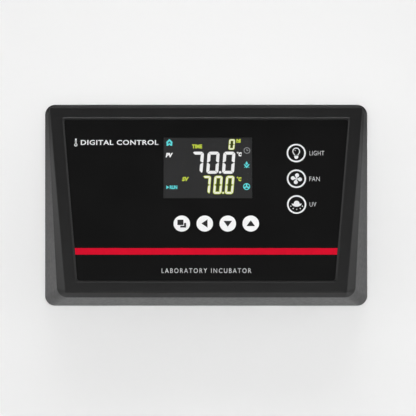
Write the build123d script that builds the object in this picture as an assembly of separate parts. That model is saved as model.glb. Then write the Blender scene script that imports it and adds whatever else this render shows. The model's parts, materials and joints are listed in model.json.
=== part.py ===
"""Control panel of a laboratory incubator, on the white front sheet that carries it. Millimetres.

A wedge-shaped bezel stands on a folded steel sheet. Its face leans back by FACE_TILT, so the display
looks up at a standing user. A printed film, seven keys and the display lie in a recess of that face,
parallel to it, with the display board behind them. A folded tray behind the sheet carries the relay board.

Frame: +X to the user's right, +Z up, and the face looks along -Y. The origin is the centre of the four
fixing holes, in the plane of the rear lips that rest on the incubator's frame.
"""

from build123d import *
from math import cos, radians, sin, tan
import os

# Front sheet
SHEET_W, SHEET_H, SHEET_T = 320.0, 300.0, 1.2
SHEET_DEPTH = 20.0
SHEET_BEND_R = 2.6
LIP_W = 15.0
LIP_LENGTH = 276.0
FIXING_X, FIXING_Z, FIXING_R = 152.0, 120.0, 2.25
CUTOUT_W, CUTOUT_H, CUTOUT_R = 190.0, 111.0, 4.0

# Bezel outline on the sheet
BEZEL_W, BEZEL_H, BEZEL_R = 210.0, 131.0, 6.5
GASKET_T = 0.8
GASKET_INSET = 1.3
RIM_T = 1.8
WALL = 2.6
FLOOR_INSET, CAVITY_R = 4.0, 2.2  # of the cavity's end behind the face

# Leaning face of the bezel: heights are world Z, widths are half widths
FACE_TILT = 15.0
FACE_TOP_Z, FACE_BOTTOM_Z = 63.9, -56.0
FACE_TOP_HALF, FACE_BOTTOM_HALF = 102.4, 90.7
FACE_TOP_DEPTH = 4.0
FACE_R = 1.2
EDGE_BREAK = 0.35
OVERCUT = 0.01  # by which a cut starts outside the face it opens
# The side facets break at this share of the inset and of the depth
BREAK_INSET, BREAK_DEPTH, BREAK_R = 0.65, 0.85, 7.0

# Recess in the face, and the film in it: local heights along the face
FILM_TOP, FILM_BOTTOM = 57.7, -49.8
FILM_TOP_HALF, FILM_BOTTOM_HALF = 92.5, 82.7
FILM_R = 1.4
FILM_T = 0.4
FILM_GAP = 0.15
RECESS = 1.2
RECESS_CHAMFER, RECESS_CHAMFER_DEPTH = 1.3, 0.78
FLOOR_T = 2.0

# Display, as places on the face
WINDOW_W, WINDOW_H = 57.4, 40.9
WINDOW_X, WINDOW_V = 1.1, 25.35
CELL_W, CELL_H, CELL_T = 64.0, 46.4, 2.8
CELL_FRONT = 1.45
LIGHT_GUIDE_T, LIGHT_GUIDE_INSET = 4.4, 0.5
HOLDER_WALL, HOLDER_SETBACK, HOLDER_GAP, CELL_GAP = 1.6, 0.2, 0.2, 0.1
PIN_COUNT, PIN_PITCH, PIN_SIDE, PIN_INSET = 20, 2.54, 0.5, 1.2

# Keys: centre on the face, and radius
CONTROL_R, FUNCTION_R = 5.3, 6.3
CONTROL_PITCH, CONTROL_X0, CONTROL_V = 14.83, -15.7, -12.0
FUNCTION_PITCH, FUNCTION_X, FUNCTION_V0 = 17.3, 58.5, 35.3
KEYS = {
    name: (CONTROL_X0 + i * CONTROL_PITCH, CONTROL_V, CONTROL_R)
    for i, name in enumerate(["menu", "left", "down", "up"])
}
KEYS.update(
    {
        name: (FUNCTION_X, FUNCTION_V0 - i * FUNCTION_PITCH, FUNCTION_R)
        for i, name in enumerate(["light", "fan", "uv"])
    }
)
KEY_T = 2.0
KEY_GAP = 0.12
KEY_GUIDE_GAP = 0.3
STEM_R = 1.9
PLUNGER_R, PLUNGER_OUT, PLUNGER_SEAT = 1.7, 1.5, 1.62
SWITCH_SIDE, SWITCH_T, SWITCH_R = 6.2, 3.6, 0.5
SWITCH_BORE_R, SWITCH_BORE_DEPTH = 1.95, 2.88

# Display board, behind the face and parallel to it
BOARD_FRONT, BOARD_T = 10.6, 1.6
BOARD_W, BOARD_TOP, BOARD_BOTTOM, BOARD_R = 164.0, 46.0, -46.0, 2.0
BOSS_R, BOSS_PILOT_R = 3.0, 1.3
BOARD_FIXINGS = [(x, v) for x in (-77.0, 77.0) for v in (-40.0, 0.0, 40.0)]
# Parts on its rear side: centre on the face, width, height, thickness
CONTROLLER_CHIP = (6.0, -22.0, 14.0, 14.0, 1.6)
DRIVER_CHIPS = [(x, 20.0, 8.0, 13.0, 2.0) for x in (-12.0, 14.0)]
CLOCK_CRYSTAL = (22.0, -16.0, 3.6, 8.0, 3.2)
BUZZER_X, BUZZER_V, BUZZER_R, BUZZER_T = 48.0, -28.0, 6.0, 7.5

# Bezel fixings: world X, Z
BEZEL_FIXINGS = [(x, z) for x in (-98.4, 98.4) for z in (20.0, -42.0)]
BEZEL_FIXINGS += [(-50.0, -59.3), (50.0, -59.3)]
FIXING_BOSS_R = 3.0
FIXING_PILOT_R, FIXING_PILOT_MAX = 1.45, 9.5
PILOT_END = 0.6  # solid left beyond a pilot hole
HOOK_W, HOOK_T, HOOK_REACH = 12.0, 1.8, 3.5
HOOK_X = 60.0
HOOK_ARM = 3.5
HOOK_GAP = 0.1

# Machine screws: shank radius, head radius and thickness, radius of the clearance hole
M3_SHANK_R, M3_HEAD_R, M3_HEAD_T, M3_CLEAR_R = 1.4, 2.8, 2.2, 1.7
SMALL_SHANK_R, SMALL_HEAD_R, SMALL_HEAD_T, SMALL_CLEAR_R = 1.25, 2.3, 1.7, 1.5
CROSS_W, CROSS_DEPTH, CROSS_SPAN = 0.7, 0.9, 1.2  # its span as a multiple of the head's radius
HEAD_ROUNDING = 0.45  # as a share of the head's thickness
BOARD_SCREW_LENGTH, RELAY_BOARD_SCREW_LENGTH, TAB_SCREW_LENGTH = 7.0, 9.0, 7.0
BEZEL_SCREW_MAX, SCREW_END_GAP = 12.0, 0.5

# Tray behind the sheet
TRAY_HALF_W, TRAY_HALF_H, TRAY_T = 104.0, 52.0, 1.2
TRAY_FRONT_Y = -4.0
TRAY_FLANGE = 18.0
TRAY_BEND_R = 1.2
TRAY_SLOT_W, TRAY_SLOT_H, TRAY_SLOT_R, TRAY_SLOT_X, TRAY_SLOT_Z = 34.0, 6.0, 2.0, -50.0, 44.0
STUD_R, STUD_LENGTH, STUD_CLEARANCE = 2.0, 9.0, 0.3
STUDS = [(x, z) for x in (-113.0, 113.0) for z in (-38.0, 38.0)]
NUT_FLATS, NUT_T, NUT_CLEARANCE = 7.0, 3.2, 0.05
WASHER_R, WASHER_T, WASHER_CLEARANCE = 4.5, 0.8, 0.2
EARTH_STUD = (128.0, -92.0)
EARTH_STUD_LENGTH = 14.0

# Relay board on the tray, and the places of its parts as X, Z
RELAY_BOARD_W, RELAY_BOARD_H = 168.0, 84.0
RELAY_BOARD_Z = -6.0
SPACER_T, SPACER_R, SPACER_BORE_R = 6.0, 3.0, 1.4
RELAY_BOARD_FIXINGS = [(x, z) for x in (-79.0, 79.0) for z in (-42.0, 30.0)]
RELAYS = [(x, -18.0) for x in (-46.0, -25.0, -4.0)]
RELAY_W, RELAY_H, RELAY_T, RELAY_EDGE_R = 15.5, 19.0, 15.5, 0.8
TRANSFORMER = (50.0, -14.0)
CORE_W, CORE_H, CORE_T, CORE_LEG = 35.0, 29.5, 12.0, 6.0
COIL_T, COIL_EDGE_R, COIL_GAP = 20.0, 2.0, 0.2
TERMINAL = (-22.0, -40.0)
TERMINAL_WAYS, TERMINAL_PITCH, TERMINAL_H, TERMINAL_T, TERMINAL_CHAMFER = 10, 5.08, 10.0, 14.0, 2.5
ENTRY_W, ENTRY_T, ENTRY_DEPTH, ENTRY_LIFT = 3.6, 4.4, 3.0, 5.0
WELL_R, WELL_DEPTH, WELL_OFFSET = 2.1, 6.0, 1.0
CLAMP_R, CLAMP_T, CLAMP_SLOT_W, CLAMP_SLOT_DEPTH = 1.9, 3.0, 0.6, 0.8
FUSE = (32.0, -40.0)
FUSE_LENGTH, FUSE_R, FUSE_LIFT = 20.0, 2.5, 6.0
CLIP_W, CLIP_WALL, CLIP_T, CLIP_INSET = 4.0, 0.7, 8.0, 3.0
CLIP_MOUTH, CLIP_GAP = 4.0, 0.03
HEAT_SINK = (-70.0, -10.0)
SINK_BASE, SINK_LENGTH, SINK_T, SINK_LIFT = 3.0, 32.0, 24.0, 1.0
SINK_FIN, SINK_FIN_T, SINK_FINS = 12.0, 1.4, 6
SINK_PIN_R, SINK_PIN_T = 1.0, 1.5
TAB_H, TAB_W, TAB_T, DEVICE_LIFT = 6.6, 10.0, 1.3, 5.0
DEVICE_H, DEVICE_W, DEVICE_T = 9.0, 10.2, 4.5
TAB_CENTRE, DEVICE_CENTRE, TAB_HOLE = 11.7, 4.2, 12.0  # heights above the device's foot
LEG_X, LEG_W, LEG_T, LEG_PITCH = 2.6, 0.8, 0.5, 2.54
SENSOR_SOCKET = (66.0, 27.0, 12.0, 6.0, 7.0)
SUPPRESSION_CAPACITOR, CAPACITOR_EDGE_R = (50.0, 14.0, 18.0, 8.5, 15.0), 0.8
VARISTOR_X, VARISTOR_Z, VARISTOR_R, VARISTOR_T = 70.0, 10.0, 6.0, 4.0
VARISTOR_LIFT, VARISTOR_EDGE_R = 8.0, 1.5
SMOOTHING_CAPACITORS = [(14.0, 12.0, 5.0, 17.0), (26.0, 10.0, 4.0, 12.0)]  # x, z, radius, length
CAN_EDGE_R = 0.8
DRIVER_CHIP, DRIVER_CHIP_LIFT = (-14.0, 6.0, 19.3, 6.4, 3.4), 0.5

# Ribbon cable between the two boards
RIBBON_W, RIBBON_T = 25.4, 0.9
RIBBON_V, RIBBON_Z = 8.0, 24.0
HEADER_W, HEADER_H, HEADER_T, HEADER_FLOOR, HEADER_WALL = 33.0, 9.0, 7.0, 1.4, 1.1
SOCKET_W, SOCKET_H, SOCKET_T, SOCKET_SEAT = 30.0, 6.0, 9.6, 0.1
RIBBON_PLANE = 9.6  # height of the cable above the board that its socket stands on
RIBBON_SLOT_GAP, RIBBON_SLOT_SIDE = 0.05, 0.2
RIBBON_BEND_R = 8.0

SHEET_FRONT_Y = -SHEET_DEPTH
SHEET_BACK_Y = SHEET_FRONT_Y + SHEET_T
TRAY_BACK_Y = TRAY_FRONT_Y + TRAY_T
RELAY_BOARD_Y = TRAY_BACK_Y + SPACER_T
PARTS_Y = RELAY_BOARD_Y + BOARD_T
FACE_SLOPE = tan(radians(FACE_TILT))
FACE_DEPTH = FACE_TOP_DEPTH + FACE_TOP_Z * FACE_SLOPE  # of the face's plane, at z = 0
FACE_BOTTOM_DEPTH = FACE_DEPTH - FACE_BOTTOM_Z * FACE_SLOPE

FACE = Plane(
    origin=(0, SHEET_FRONT_Y - FACE_DEPTH, 0),
    x_dir=(1, 0, 0),
    z_dir=(0, -cos(radians(FACE_TILT)), sin(radians(FACE_TILT))),
)


def upright(y):
    """Plane of the sheet at that Y: local x is +X, local y is +Z, and it looks at the user."""
    return Plane(origin=(0, y, 0), x_dir=(1, 0, 0), z_dir=(0, -1, 0))


def behind(depth):
    """Plane parallel to the face, that far behind it."""
    return FACE.offset(-depth)


def trapezoid(half_top, half_bottom, top, bottom, radius):
    """Rounded trapezoid, symmetrical about local x = 0."""
    outline = Polygon(
        (-half_bottom, bottom), (half_bottom, bottom), (half_top, top), (-half_top, top), align=None
    )
    return fillet(outline.vertices(), radius)


def face_outline(inset, radius):
    """Outline of the bezel's face, in the face's own plane, moved in by inset."""
    lean = cos(radians(FACE_TILT))
    return trapezoid(
        FACE_TOP_HALF - inset,
        FACE_BOTTOM_HALF - inset,
        FACE_TOP_Z / lean - inset,
        FACE_BOTTOM_Z / lean + inset,
        radius,
    )


def film_outline(grow, radius=FILM_R):
    """Outline of the printed film, grown all round."""
    return trapezoid(
        FILM_TOP_HALF + grow, FILM_BOTTOM_HALF + grow, FILM_TOP + grow, FILM_BOTTOM - grow, radius
    )


def disc(plane, x, v, radius, thickness, at=0.0):
    """Cylinder whose front lies `at` behind the plane and which runs back by `thickness`."""
    return extrude(plane.offset(-at) * Pos(x, v) * Circle(radius), amount=-thickness)


def pan_screw(shank_r, head_r, head_t, length):
    """Pan-head cross-recess screw: its shank runs along +Z from 0, its head along -Z."""
    head = Pos(0, 0, -head_t / 2) * Cylinder(head_r, head_t)
    head = fillet(head.edges().sort_by(Axis.Z)[0], head_t * HEAD_ROUNDING)
    span = head_r * CROSS_SPAN
    cross = Box(span, CROSS_W, CROSS_DEPTH) + Box(CROSS_W, span, CROSS_DEPTH)
    head -= Pos(0, 0, -head_t + CROSS_DEPTH / 2) * cross
    return head + Pos(0, 0, length / 2) * Cylinder(shank_r, length)


def save(name, *shapes):
    """Writes one node, made of one or more separate solids."""
    solids = [solid for shape in shapes for solid in shape.solids()]
    export_step(Compound(children=solids) if len(solids) > 1 else solids[0], f"parts/{name}.step")


# ---------------------------------------------------------------- sheet


def front_sheet():
    """White sheet, folded back on all four sides, with an inward lip at each side."""
    middle_y = SHEET_FRONT_Y + SHEET_DEPTH / 2
    shell = Pos(0, middle_y, 0) * Box(SHEET_W, SHEET_DEPTH, SHEET_H)
    shell = fillet(shell.edges().group_by(Axis.Y)[0] + shell.edges().filter_by(Axis.Y), SHEET_BEND_R)
    hollow = Pos(0, middle_y + SHEET_T, 0) * Box(
        SHEET_W - 2 * SHEET_T, SHEET_DEPTH, SHEET_H - 2 * SHEET_T
    )
    inner_r = SHEET_BEND_R - SHEET_T
    hollow = fillet(hollow.edges().group_by(Axis.Y)[0] + hollow.edges().filter_by(Axis.Y), inner_r)
    sheet = shell - hollow
    for side in (-1, 1):
        lip_x = side * (SHEET_W / 2 - SHEET_T / 2 - LIP_W / 2)
        sheet += Pos(lip_x, -SHEET_T / 2, 0) * Box(LIP_W, SHEET_T, LIP_LENGTH)
        for z in (-FIXING_Z, FIXING_Z):
            sheet -= Pos(side * FIXING_X, -SHEET_T / 2, z) * Rot(90, 0, 0) * Cylinder(FIXING_R, 3 * SHEET_T)
    front = upright(SHEET_FRONT_Y + 2 * SHEET_T)
    cuts = [extrude(front * RectangleRounded(CUTOUT_W, CUTOUT_H, CUTOUT_R), amount=4 * SHEET_T)]
    cuts += [extrude(front * Pos(x, z) * Circle(M3_CLEAR_R), amount=4 * SHEET_T) for x, z in BEZEL_FIXINGS]
    for cut in cuts:
        sheet -= cut
    return sheet


def stud(x, z, length):
    """Threaded stud welded to the back of the sheet."""
    return extrude(upright(SHEET_BACK_Y) * Pos(x, z) * Circle(STUD_R), amount=-length)


# ---------------------------------------------------------------- bezel


def bezel_body():
    """Outer form: a rim on the sheet, steep outer facets, flatter inner facets and the leaning face."""
    base = trapezoid(BEZEL_W / 2, BEZEL_W / 2, BEZEL_H / 2, -BEZEL_H / 2, BEZEL_R)
    rim_back = upright(SHEET_FRONT_Y - GASKET_T)
    rim_front = upright(SHEET_FRONT_Y - GASKET_T - RIM_T)
    top_z = BEZEL_H / 2 + BREAK_INSET * (FACE_TOP_Z - BEZEL_H / 2)
    bottom_z = -BEZEL_H / 2 + BREAK_INSET * (FACE_BOTTOM_Z + BEZEL_H / 2)
    top_depth, bottom_depth = BREAK_DEPTH * FACE_TOP_DEPTH, BREAK_DEPTH * FACE_BOTTOM_DEPTH
    slope = (bottom_depth - top_depth) / (top_z - bottom_z)
    lean = (1 + slope**2) ** -0.5
    break_plane = Plane(
        origin=(0, SHEET_FRONT_Y - top_depth - top_z * slope, 0),
        x_dir=(1, 0, 0),
        z_dir=(0, -lean, slope * lean),
    )
    facets = trapezoid(
        BEZEL_W / 2 + BREAK_INSET * (FACE_TOP_HALF - BEZEL_W / 2),
        BEZEL_W / 2 + BREAK_INSET * (FACE_BOTTOM_HALF - BEZEL_W / 2),
        top_z / lean,
        bottom_z / lean,
        BREAK_R,
    )
    rim = extrude(rim_back * base, amount=RIM_T)
    outer = loft([rim_front * base, break_plane * facets], ruled=True)
    inner = loft([break_plane * facets, behind(EDGE_BREAK) * face_outline(0, FACE_R)], ruled=True)
    edge = loft(
        [behind(EDGE_BREAK) * face_outline(0, FACE_R), FACE * face_outline(EDGE_BREAK, FACE_R)], ruled=True
    )
    return rim + outer + inner + edge


def bezel_cavity():
    """Space inside the bezel, from its open back to the floor behind the film."""
    half_w, half_h = BEZEL_W / 2 - WALL, BEZEL_H / 2 - WALL
    back = trapezoid(half_w, half_w, half_h, -half_h, BEZEL_R - WALL)
    floor = behind(floor_depth()) * face_outline(FLOOR_INSET, CAVITY_R)
    return loft([upright(SHEET_FRONT_Y) * back, floor], ruled=True)


def bezel():
    """Moulded bezel with its recess, window, key holes, screw bosses and two hooks at the top."""
    body = bezel_body()
    cavity = bezel_cavity()
    body -= cavity
    floor = behind(floor_depth())
    back = upright(SHEET_FRONT_Y - GASKET_T)
    bosses = [
        extrude(floor * Pos(x, v) * Circle(BOSS_R), amount=floor_depth() - BOARD_FRONT)
        for x, v in BOARD_FIXINGS
    ]
    bosses += [
        extrude(back * Pos(x, z) * Circle(FIXING_BOSS_R), amount=FACE_BOTTOM_DEPTH) & cavity
        for x, z in BEZEL_FIXINGS
    ]
    for boss in bosses:
        body += boss
    for x in (-HOOK_X, HOOK_X):
        body += hook(x)
    body -= extrude(FACE * film_outline(FILM_GAP), amount=-RECESS)
    chamfer_floor = behind(RECESS_CHAMFER_DEPTH) * film_outline(FILM_GAP)
    chamfer_rim = FACE.offset(OVERCUT) * film_outline(RECESS_CHAMFER)
    body -= loft([chamfer_floor, chamfer_rim], ruled=True)
    opening = 2 * (HOLDER_WALL + HOLDER_GAP)
    window = Rectangle(CELL_W + opening, CELL_H + opening)
    body -= extrude(FACE * Pos(WINDOW_X, WINDOW_V) * window, amount=-2 * floor_depth())
    for x, v, radius in KEYS.values():
        body -= disc(FACE, x, v, radius + KEY_GUIDE_GAP, 2 * floor_depth())
    for x, v in BOARD_FIXINGS:
        body -= disc(behind(floor_depth()), x, v, BOSS_PILOT_R, BOARD_FRONT)
    for x, z in BEZEL_FIXINGS:
        body -= extrude(back * Pos(x, z) * Circle(FIXING_PILOT_R), amount=pilot_depth(z))
    return body


def hook(x):
    """Hook that reaches through the cut-out and catches behind its top edge."""
    arm_start = SHEET_FRONT_Y - HOOK_ARM
    tip_start = SHEET_BACK_Y + HOOK_GAP
    arm_z = CUTOUT_H / 2 - HOOK_T
    arm_length = tip_start + HOOK_T - arm_start
    arm = Pos(x, arm_start + arm_length / 2, arm_z) * Box(HOOK_W, arm_length, HOOK_T)
    tip = Pos(x, tip_start + HOOK_T / 2, arm_z + HOOK_REACH / 2) * Box(HOOK_W, HOOK_T, HOOK_T + HOOK_REACH)
    return arm + tip


def floor_depth():
    """Depth of the floor's rear side behind the face."""
    return RECESS + FLOOR_T


def pilot_depth(z):
    """Depth of a fixing's pilot hole, which stops short of the floor."""
    depth_here = FACE_DEPTH - z * FACE_SLOPE - floor_depth() / cos(radians(FACE_TILT))
    return min(depth_here - GASKET_T - PILOT_END, FIXING_PILOT_MAX)


def gasket():
    """Foam frame between the bezel and the sheet."""
    width, height = BEZEL_W - 2 * GASKET_INSET, BEZEL_H - 2 * GASKET_INSET
    outline = RectangleRounded(width, height, BEZEL_R - GASKET_INSET)
    outline -= RectangleRounded(CUTOUT_W + GASKET_T, CUTOUT_H + GASKET_T, CUTOUT_R)
    for x, z in BEZEL_FIXINGS:
        outline -= Pos(x, z) * Circle(M3_CLEAR_R)
    return extrude(upright(SHEET_FRONT_Y) * outline, amount=GASKET_T)


# ---------------------------------------------------------------- film, keys, display


def film():
    """Printed film in the recess, open at the keys and at the display."""
    outline = film_outline(0)
    outline -= Pos(WINDOW_X, WINDOW_V) * Rectangle(WINDOW_W, WINDOW_H)
    for x, v, radius in KEYS.values():
        outline -= Pos(x, v) * Circle(radius + KEY_GAP)
    return extrude(behind(RECESS) * outline, amount=FILM_T)


def display_window():
    """Clear pane that fills the film's opening."""
    pane = Pos(WINDOW_X, WINDOW_V) * Rectangle(WINDOW_W, WINDOW_H)
    return extrude(behind(RECESS) * pane, amount=FILM_T)


def key(x, v, radius):
    """Round key, flush with the film, with a stem that reaches the switch behind it."""
    front = RECESS - FILM_T
    cap = disc(FACE, x, v, radius, KEY_T, at=front)
    stem_end = BOARD_FRONT - SWITCH_T - PLUNGER_OUT
    return cap + disc(FACE, x, v, STEM_R, stem_end - front - KEY_T, at=front + KEY_T)


def switch_plunger(x, v):
    """Round actuator of the switch, half inside its body."""
    start = BOARD_FRONT - SWITCH_T - PLUNGER_OUT
    return disc(FACE, x, v, PLUNGER_R, PLUNGER_OUT + PLUNGER_SEAT, at=start)


def switch_body(x, v):
    """Square push switch on the display board, with a bore for its plunger."""
    square = RectangleRounded(SWITCH_SIDE, SWITCH_SIDE, SWITCH_R)
    body = extrude(behind(BOARD_FRONT) * Pos(x, v) * square, amount=SWITCH_T)
    return body - disc(behind(BOARD_FRONT - SWITCH_T), x, v, SWITCH_BORE_R, SWITCH_BORE_DEPTH, at=-OVERCUT)


def display_slab(width, height, front, thickness):
    """Rectangular layer of the display, centred on its window."""
    return extrude(behind(front) * Pos(WINDOW_X, WINDOW_V) * Rectangle(width, height), amount=-thickness)


def display_holder():
    """Black frame round the display cell and its light guide."""
    front = CELL_FRONT + HOLDER_SETBACK
    depth = BOARD_FRONT - front
    outer = display_slab(CELL_W + 2 * HOLDER_WALL, CELL_H + 2 * HOLDER_WALL, front, depth)
    bore = 2 * CELL_GAP
    return outer - display_slab(CELL_W + bore, CELL_H + bore, CELL_FRONT, BOARD_FRONT)


def display_pins():
    """Two rows of pins that carry the cell's contacts down to the display board."""
    start = CELL_FRONT + CELL_T + LIGHT_GUIDE_T
    rows = []
    square = Rectangle(PIN_SIDE, PIN_SIDE)
    for row in (-1, 1):
        v = WINDOW_V + row * (CELL_H / 2 - PIN_INSET)
        for i in range(PIN_COUNT):
            x = WINDOW_X + (i - (PIN_COUNT - 1) / 2) * PIN_PITCH
            rows.append(extrude(behind(start) * Pos(x, v) * square, amount=start - BOARD_FRONT))
    return rows


def display_board():
    """Board behind the face that carries the display, the switches and the controller."""
    height = BOARD_TOP - BOARD_BOTTOM
    outline = Pos(0, (BOARD_TOP + BOARD_BOTTOM) / 2) * RectangleRounded(BOARD_W, height, BOARD_R)
    for x, v in BOARD_FIXINGS:
        outline -= Pos(x, v) * Circle(SMALL_CLEAR_R)
    return extrude(behind(BOARD_FRONT) * outline, amount=-BOARD_T)


def on_display_board(x, v, width, height, thickness):
    """Part soldered to the rear side of the display board."""
    back = behind(BOARD_FRONT + BOARD_T)
    return extrude(back * Pos(x, v) * Rectangle(width, height), amount=-thickness)


def board_screws():
    """Screws that hold the display board to the bosses."""
    screw = pan_screw(SMALL_SHANK_R, SMALL_HEAD_R, SMALL_HEAD_T, BOARD_SCREW_LENGTH)
    back = behind(BOARD_FRONT + BOARD_T)
    return [back.location * Pos(x, v) * screw for x, v in BOARD_FIXINGS]


def bezel_screws():
    """Screws that pull the bezel onto the sheet from behind."""
    screws = []
    for x, z in BEZEL_FIXINGS:
        length = min(SHEET_T + GASKET_T + pilot_depth(z) - SCREW_END_GAP, BEZEL_SCREW_MAX)
        screw = pan_screw(M3_SHANK_R, M3_HEAD_R, M3_HEAD_T, length)
        screws.append(upright(SHEET_BACK_Y).location * Pos(x, z) * screw)
    return screws


# ---------------------------------------------------------------- tray and relay board


def tray():
    """Hat-section tray: a plate behind the display board, with a flange at each side on the sheet."""
    plate_y = (TRAY_FRONT_Y + TRAY_BACK_Y) / 2
    folded = Pos(0, plate_y, 0) * Box(2 * TRAY_HALF_W, TRAY_T, 2 * TRAY_HALF_H)
    leg_depth = TRAY_BACK_Y - SHEET_BACK_Y
    for side in (-1, 1):
        leg_x = side * (TRAY_HALF_W - TRAY_T / 2)
        folded += Pos(leg_x, SHEET_BACK_Y + leg_depth / 2, 0) * Box(TRAY_T, leg_depth, 2 * TRAY_HALF_H)
        flange_x = side * (TRAY_HALF_W + TRAY_FLANGE / 2 - TRAY_T)
        folded += Pos(flange_x, SHEET_BACK_Y + TRAY_T / 2, 0) * Box(TRAY_FLANGE, TRAY_T, 2 * TRAY_HALF_H)
    folded = bent(folded)
    at_flange, at_plate = upright(SHEET_BACK_Y - TRAY_T), upright(TRAY_FRONT_Y - TRAY_T)
    hole = Circle(STUD_R + STUD_CLEARANCE)
    for x, z in STUDS:
        folded -= extrude(at_flange * Pos(x, z) * hole, amount=-3 * TRAY_T)
    for x, z in RELAY_BOARD_FIXINGS:
        folded -= extrude(at_plate * Pos(x, z) * Circle(SMALL_CLEAR_R), amount=-3 * TRAY_T)
    slot = RectangleRounded(TRAY_SLOT_W, TRAY_SLOT_H, TRAY_SLOT_R)
    folded -= extrude(at_plate * Pos(TRAY_SLOT_X, TRAY_SLOT_Z) * slot, amount=-3 * TRAY_T)
    return folded


def bent(folded):
    """The folded tray with a radius inside and outside each of its four bends."""
    corners = [
        (TRAY_HALF_W, TRAY_BACK_Y, TRAY_BEND_R + TRAY_T),
        (TRAY_HALF_W - TRAY_T, TRAY_FRONT_Y, TRAY_BEND_R),
        (TRAY_HALF_W, SHEET_BACK_Y + TRAY_T, TRAY_BEND_R),
        (TRAY_HALF_W - TRAY_T, SHEET_BACK_Y, TRAY_BEND_R + TRAY_T),
    ]
    for x, y, radius in corners:
        for side in (-1, 1):
            edges = folded.edges().filter_by(Axis.Z)
            folded = fillet(edges.sort_by_distance((side * x, y, 0))[0], radius)
    return folded


def hex_nut(x, z):
    """Nut on a tray stud."""
    outline = RegularPolygon(NUT_FLATS / 2, 6, major_radius=False) - Circle(STUD_R + NUT_CLEARANCE)
    start = SHEET_BACK_Y + TRAY_T + WASHER_T
    return extrude(upright(start) * Pos(x, z) * outline, amount=-NUT_T)


def washer(x, z):
    """Plain washer under a tray nut."""
    outline = Circle(WASHER_R) - Circle(STUD_R + WASHER_CLEARANCE)
    return extrude(upright(SHEET_BACK_Y + TRAY_T) * Pos(x, z) * outline, amount=-WASHER_T)


def relay_board():
    """Board on the tray that switches the heater, the light, the fan and the lamp."""
    outline = Pos(0, RELAY_BOARD_Z) * RectangleRounded(RELAY_BOARD_W, RELAY_BOARD_H, BOARD_R)
    for x, z in RELAY_BOARD_FIXINGS:
        outline -= Pos(x, z) * Circle(SMALL_CLEAR_R)
    return extrude(upright(RELAY_BOARD_Y) * outline, amount=-BOARD_T)


def relay_board_spacer(x, z):
    """Tubular spacer between the tray and the relay board."""
    ring = Circle(SPACER_R) - Circle(SPACER_BORE_R)
    return extrude(upright(TRAY_BACK_Y) * Pos(x, z) * ring, amount=-SPACER_T)


def relay_board_screws():
    """Screws that hold the relay board to the tray."""
    screw = pan_screw(SMALL_SHANK_R, SMALL_HEAD_R, SMALL_HEAD_T, RELAY_BOARD_SCREW_LENGTH)
    return [upright(PARTS_Y).location * Pos(x, z) * screw for x, z in RELAY_BOARD_FIXINGS]


def on_relay_board(x, z, width, height, thickness, start=0.0):
    """Block on the rear side of the relay board, from `start` above it."""
    return Pos(x, PARTS_Y + start + thickness / 2, z) * Box(width, thickness, height)


def can(x, z, radius, length):
    """Electrolytic capacitor standing on the relay board, its far rim rounded."""
    body = extrude(upright(PARTS_Y) * Pos(x, z) * Circle(radius), amount=-length)
    return fillet(body.edges().sort_by(Axis.Y)[-1], CAN_EDGE_R)


def softened(block, radius):
    """A block on the relay board with its free edges rounded."""
    return fillet(block.edges().group_by(Axis.Y)[-1] + block.edges().filter_by(Axis.Y), radius)


def varistor():
    """Dipped disc that stands on edge across the supply."""
    centre = Pos(VARISTOR_X, PARTS_Y + VARISTOR_LIFT, VARISTOR_Z)
    dipped = centre * Rot(0, 90, 0) * Cylinder(VARISTOR_R, VARISTOR_T)
    return fillet(dipped.edges().filter_by(GeomType.CIRCLE), VARISTOR_EDGE_R)


def transformer_core():
    """Stack of E and I laminations, open at the two windows where the coil passes."""
    x, z = TRANSFORMER
    lift = (COIL_T - CORE_T) / 2
    core = on_relay_board(x, z, CORE_W, CORE_H, CORE_T, start=lift)
    window_w = (CORE_W - 4 * CORE_LEG) / 2
    for side in (-1, 1):
        window_x = x + side * (CORE_LEG + window_w / 2)
        window_h, start = CORE_H - 2 * CORE_LEG, lift - CORE_T / 2
        core -= on_relay_board(window_x, z, window_w, window_h, 2 * CORE_T, start=start)
    return core


def transformer_coil():
    """Coil former with its winding, round the core's middle leg and standing on the board."""
    x, z = TRANSFORMER
    window_w = (CORE_W - 4 * CORE_LEG) / 2
    width = 2 * (CORE_LEG + window_w - COIL_GAP)
    height = CORE_H - 2 * (CORE_LEG + COIL_GAP)
    coil = on_relay_board(x, z, width, height, COIL_T)
    coil = fillet(coil.edges().filter_by(Axis.Z), COIL_EDGE_R)
    start = (COIL_T - CORE_T - COIL_GAP) / 2
    leg = on_relay_board(x, z, 2 * CORE_LEG + COIL_GAP, CORE_H, CORE_T + COIL_GAP, start=start)
    return coil - leg


def heat_sink():
    """Extruded aluminium heat sink: a base at right angles to the board, with fins on one side."""
    x, z = HEAT_SINK
    foot = upright(PARTS_Y + SINK_LIFT)
    sink = extrude(foot * Pos(x + SINK_BASE / 2, z) * Rectangle(SINK_BASE, SINK_LENGTH), amount=-SINK_T)
    for i in range(SINK_FINS):
        fin_z = z + (i - (SINK_FINS - 1) / 2) * (SINK_LENGTH - SINK_FIN_T) / (SINK_FINS - 1)
        fin = Pos(x - SINK_FIN / 2, fin_z) * Rectangle(SINK_FIN, SINK_FIN_T)
        sink += extrude(foot * fin, amount=-SINK_T)
    sink -= tab_hole(x + SINK_BASE / 2, z, 2 * SINK_BASE)
    pin = Pos(x + SINK_BASE / 2, z) * Circle(SINK_PIN_R)
    return sink + extrude(upright(PARTS_Y) * pin, amount=-SINK_PIN_T)


def tab_hole(x, z, length):
    """Hole along X for the screw that clamps the power device."""
    return Pos(x, PARTS_Y + DEVICE_LIFT + TAB_HOLE, z) * Rot(0, 90, 0) * Cylinder(M3_CLEAR_R, length)


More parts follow.
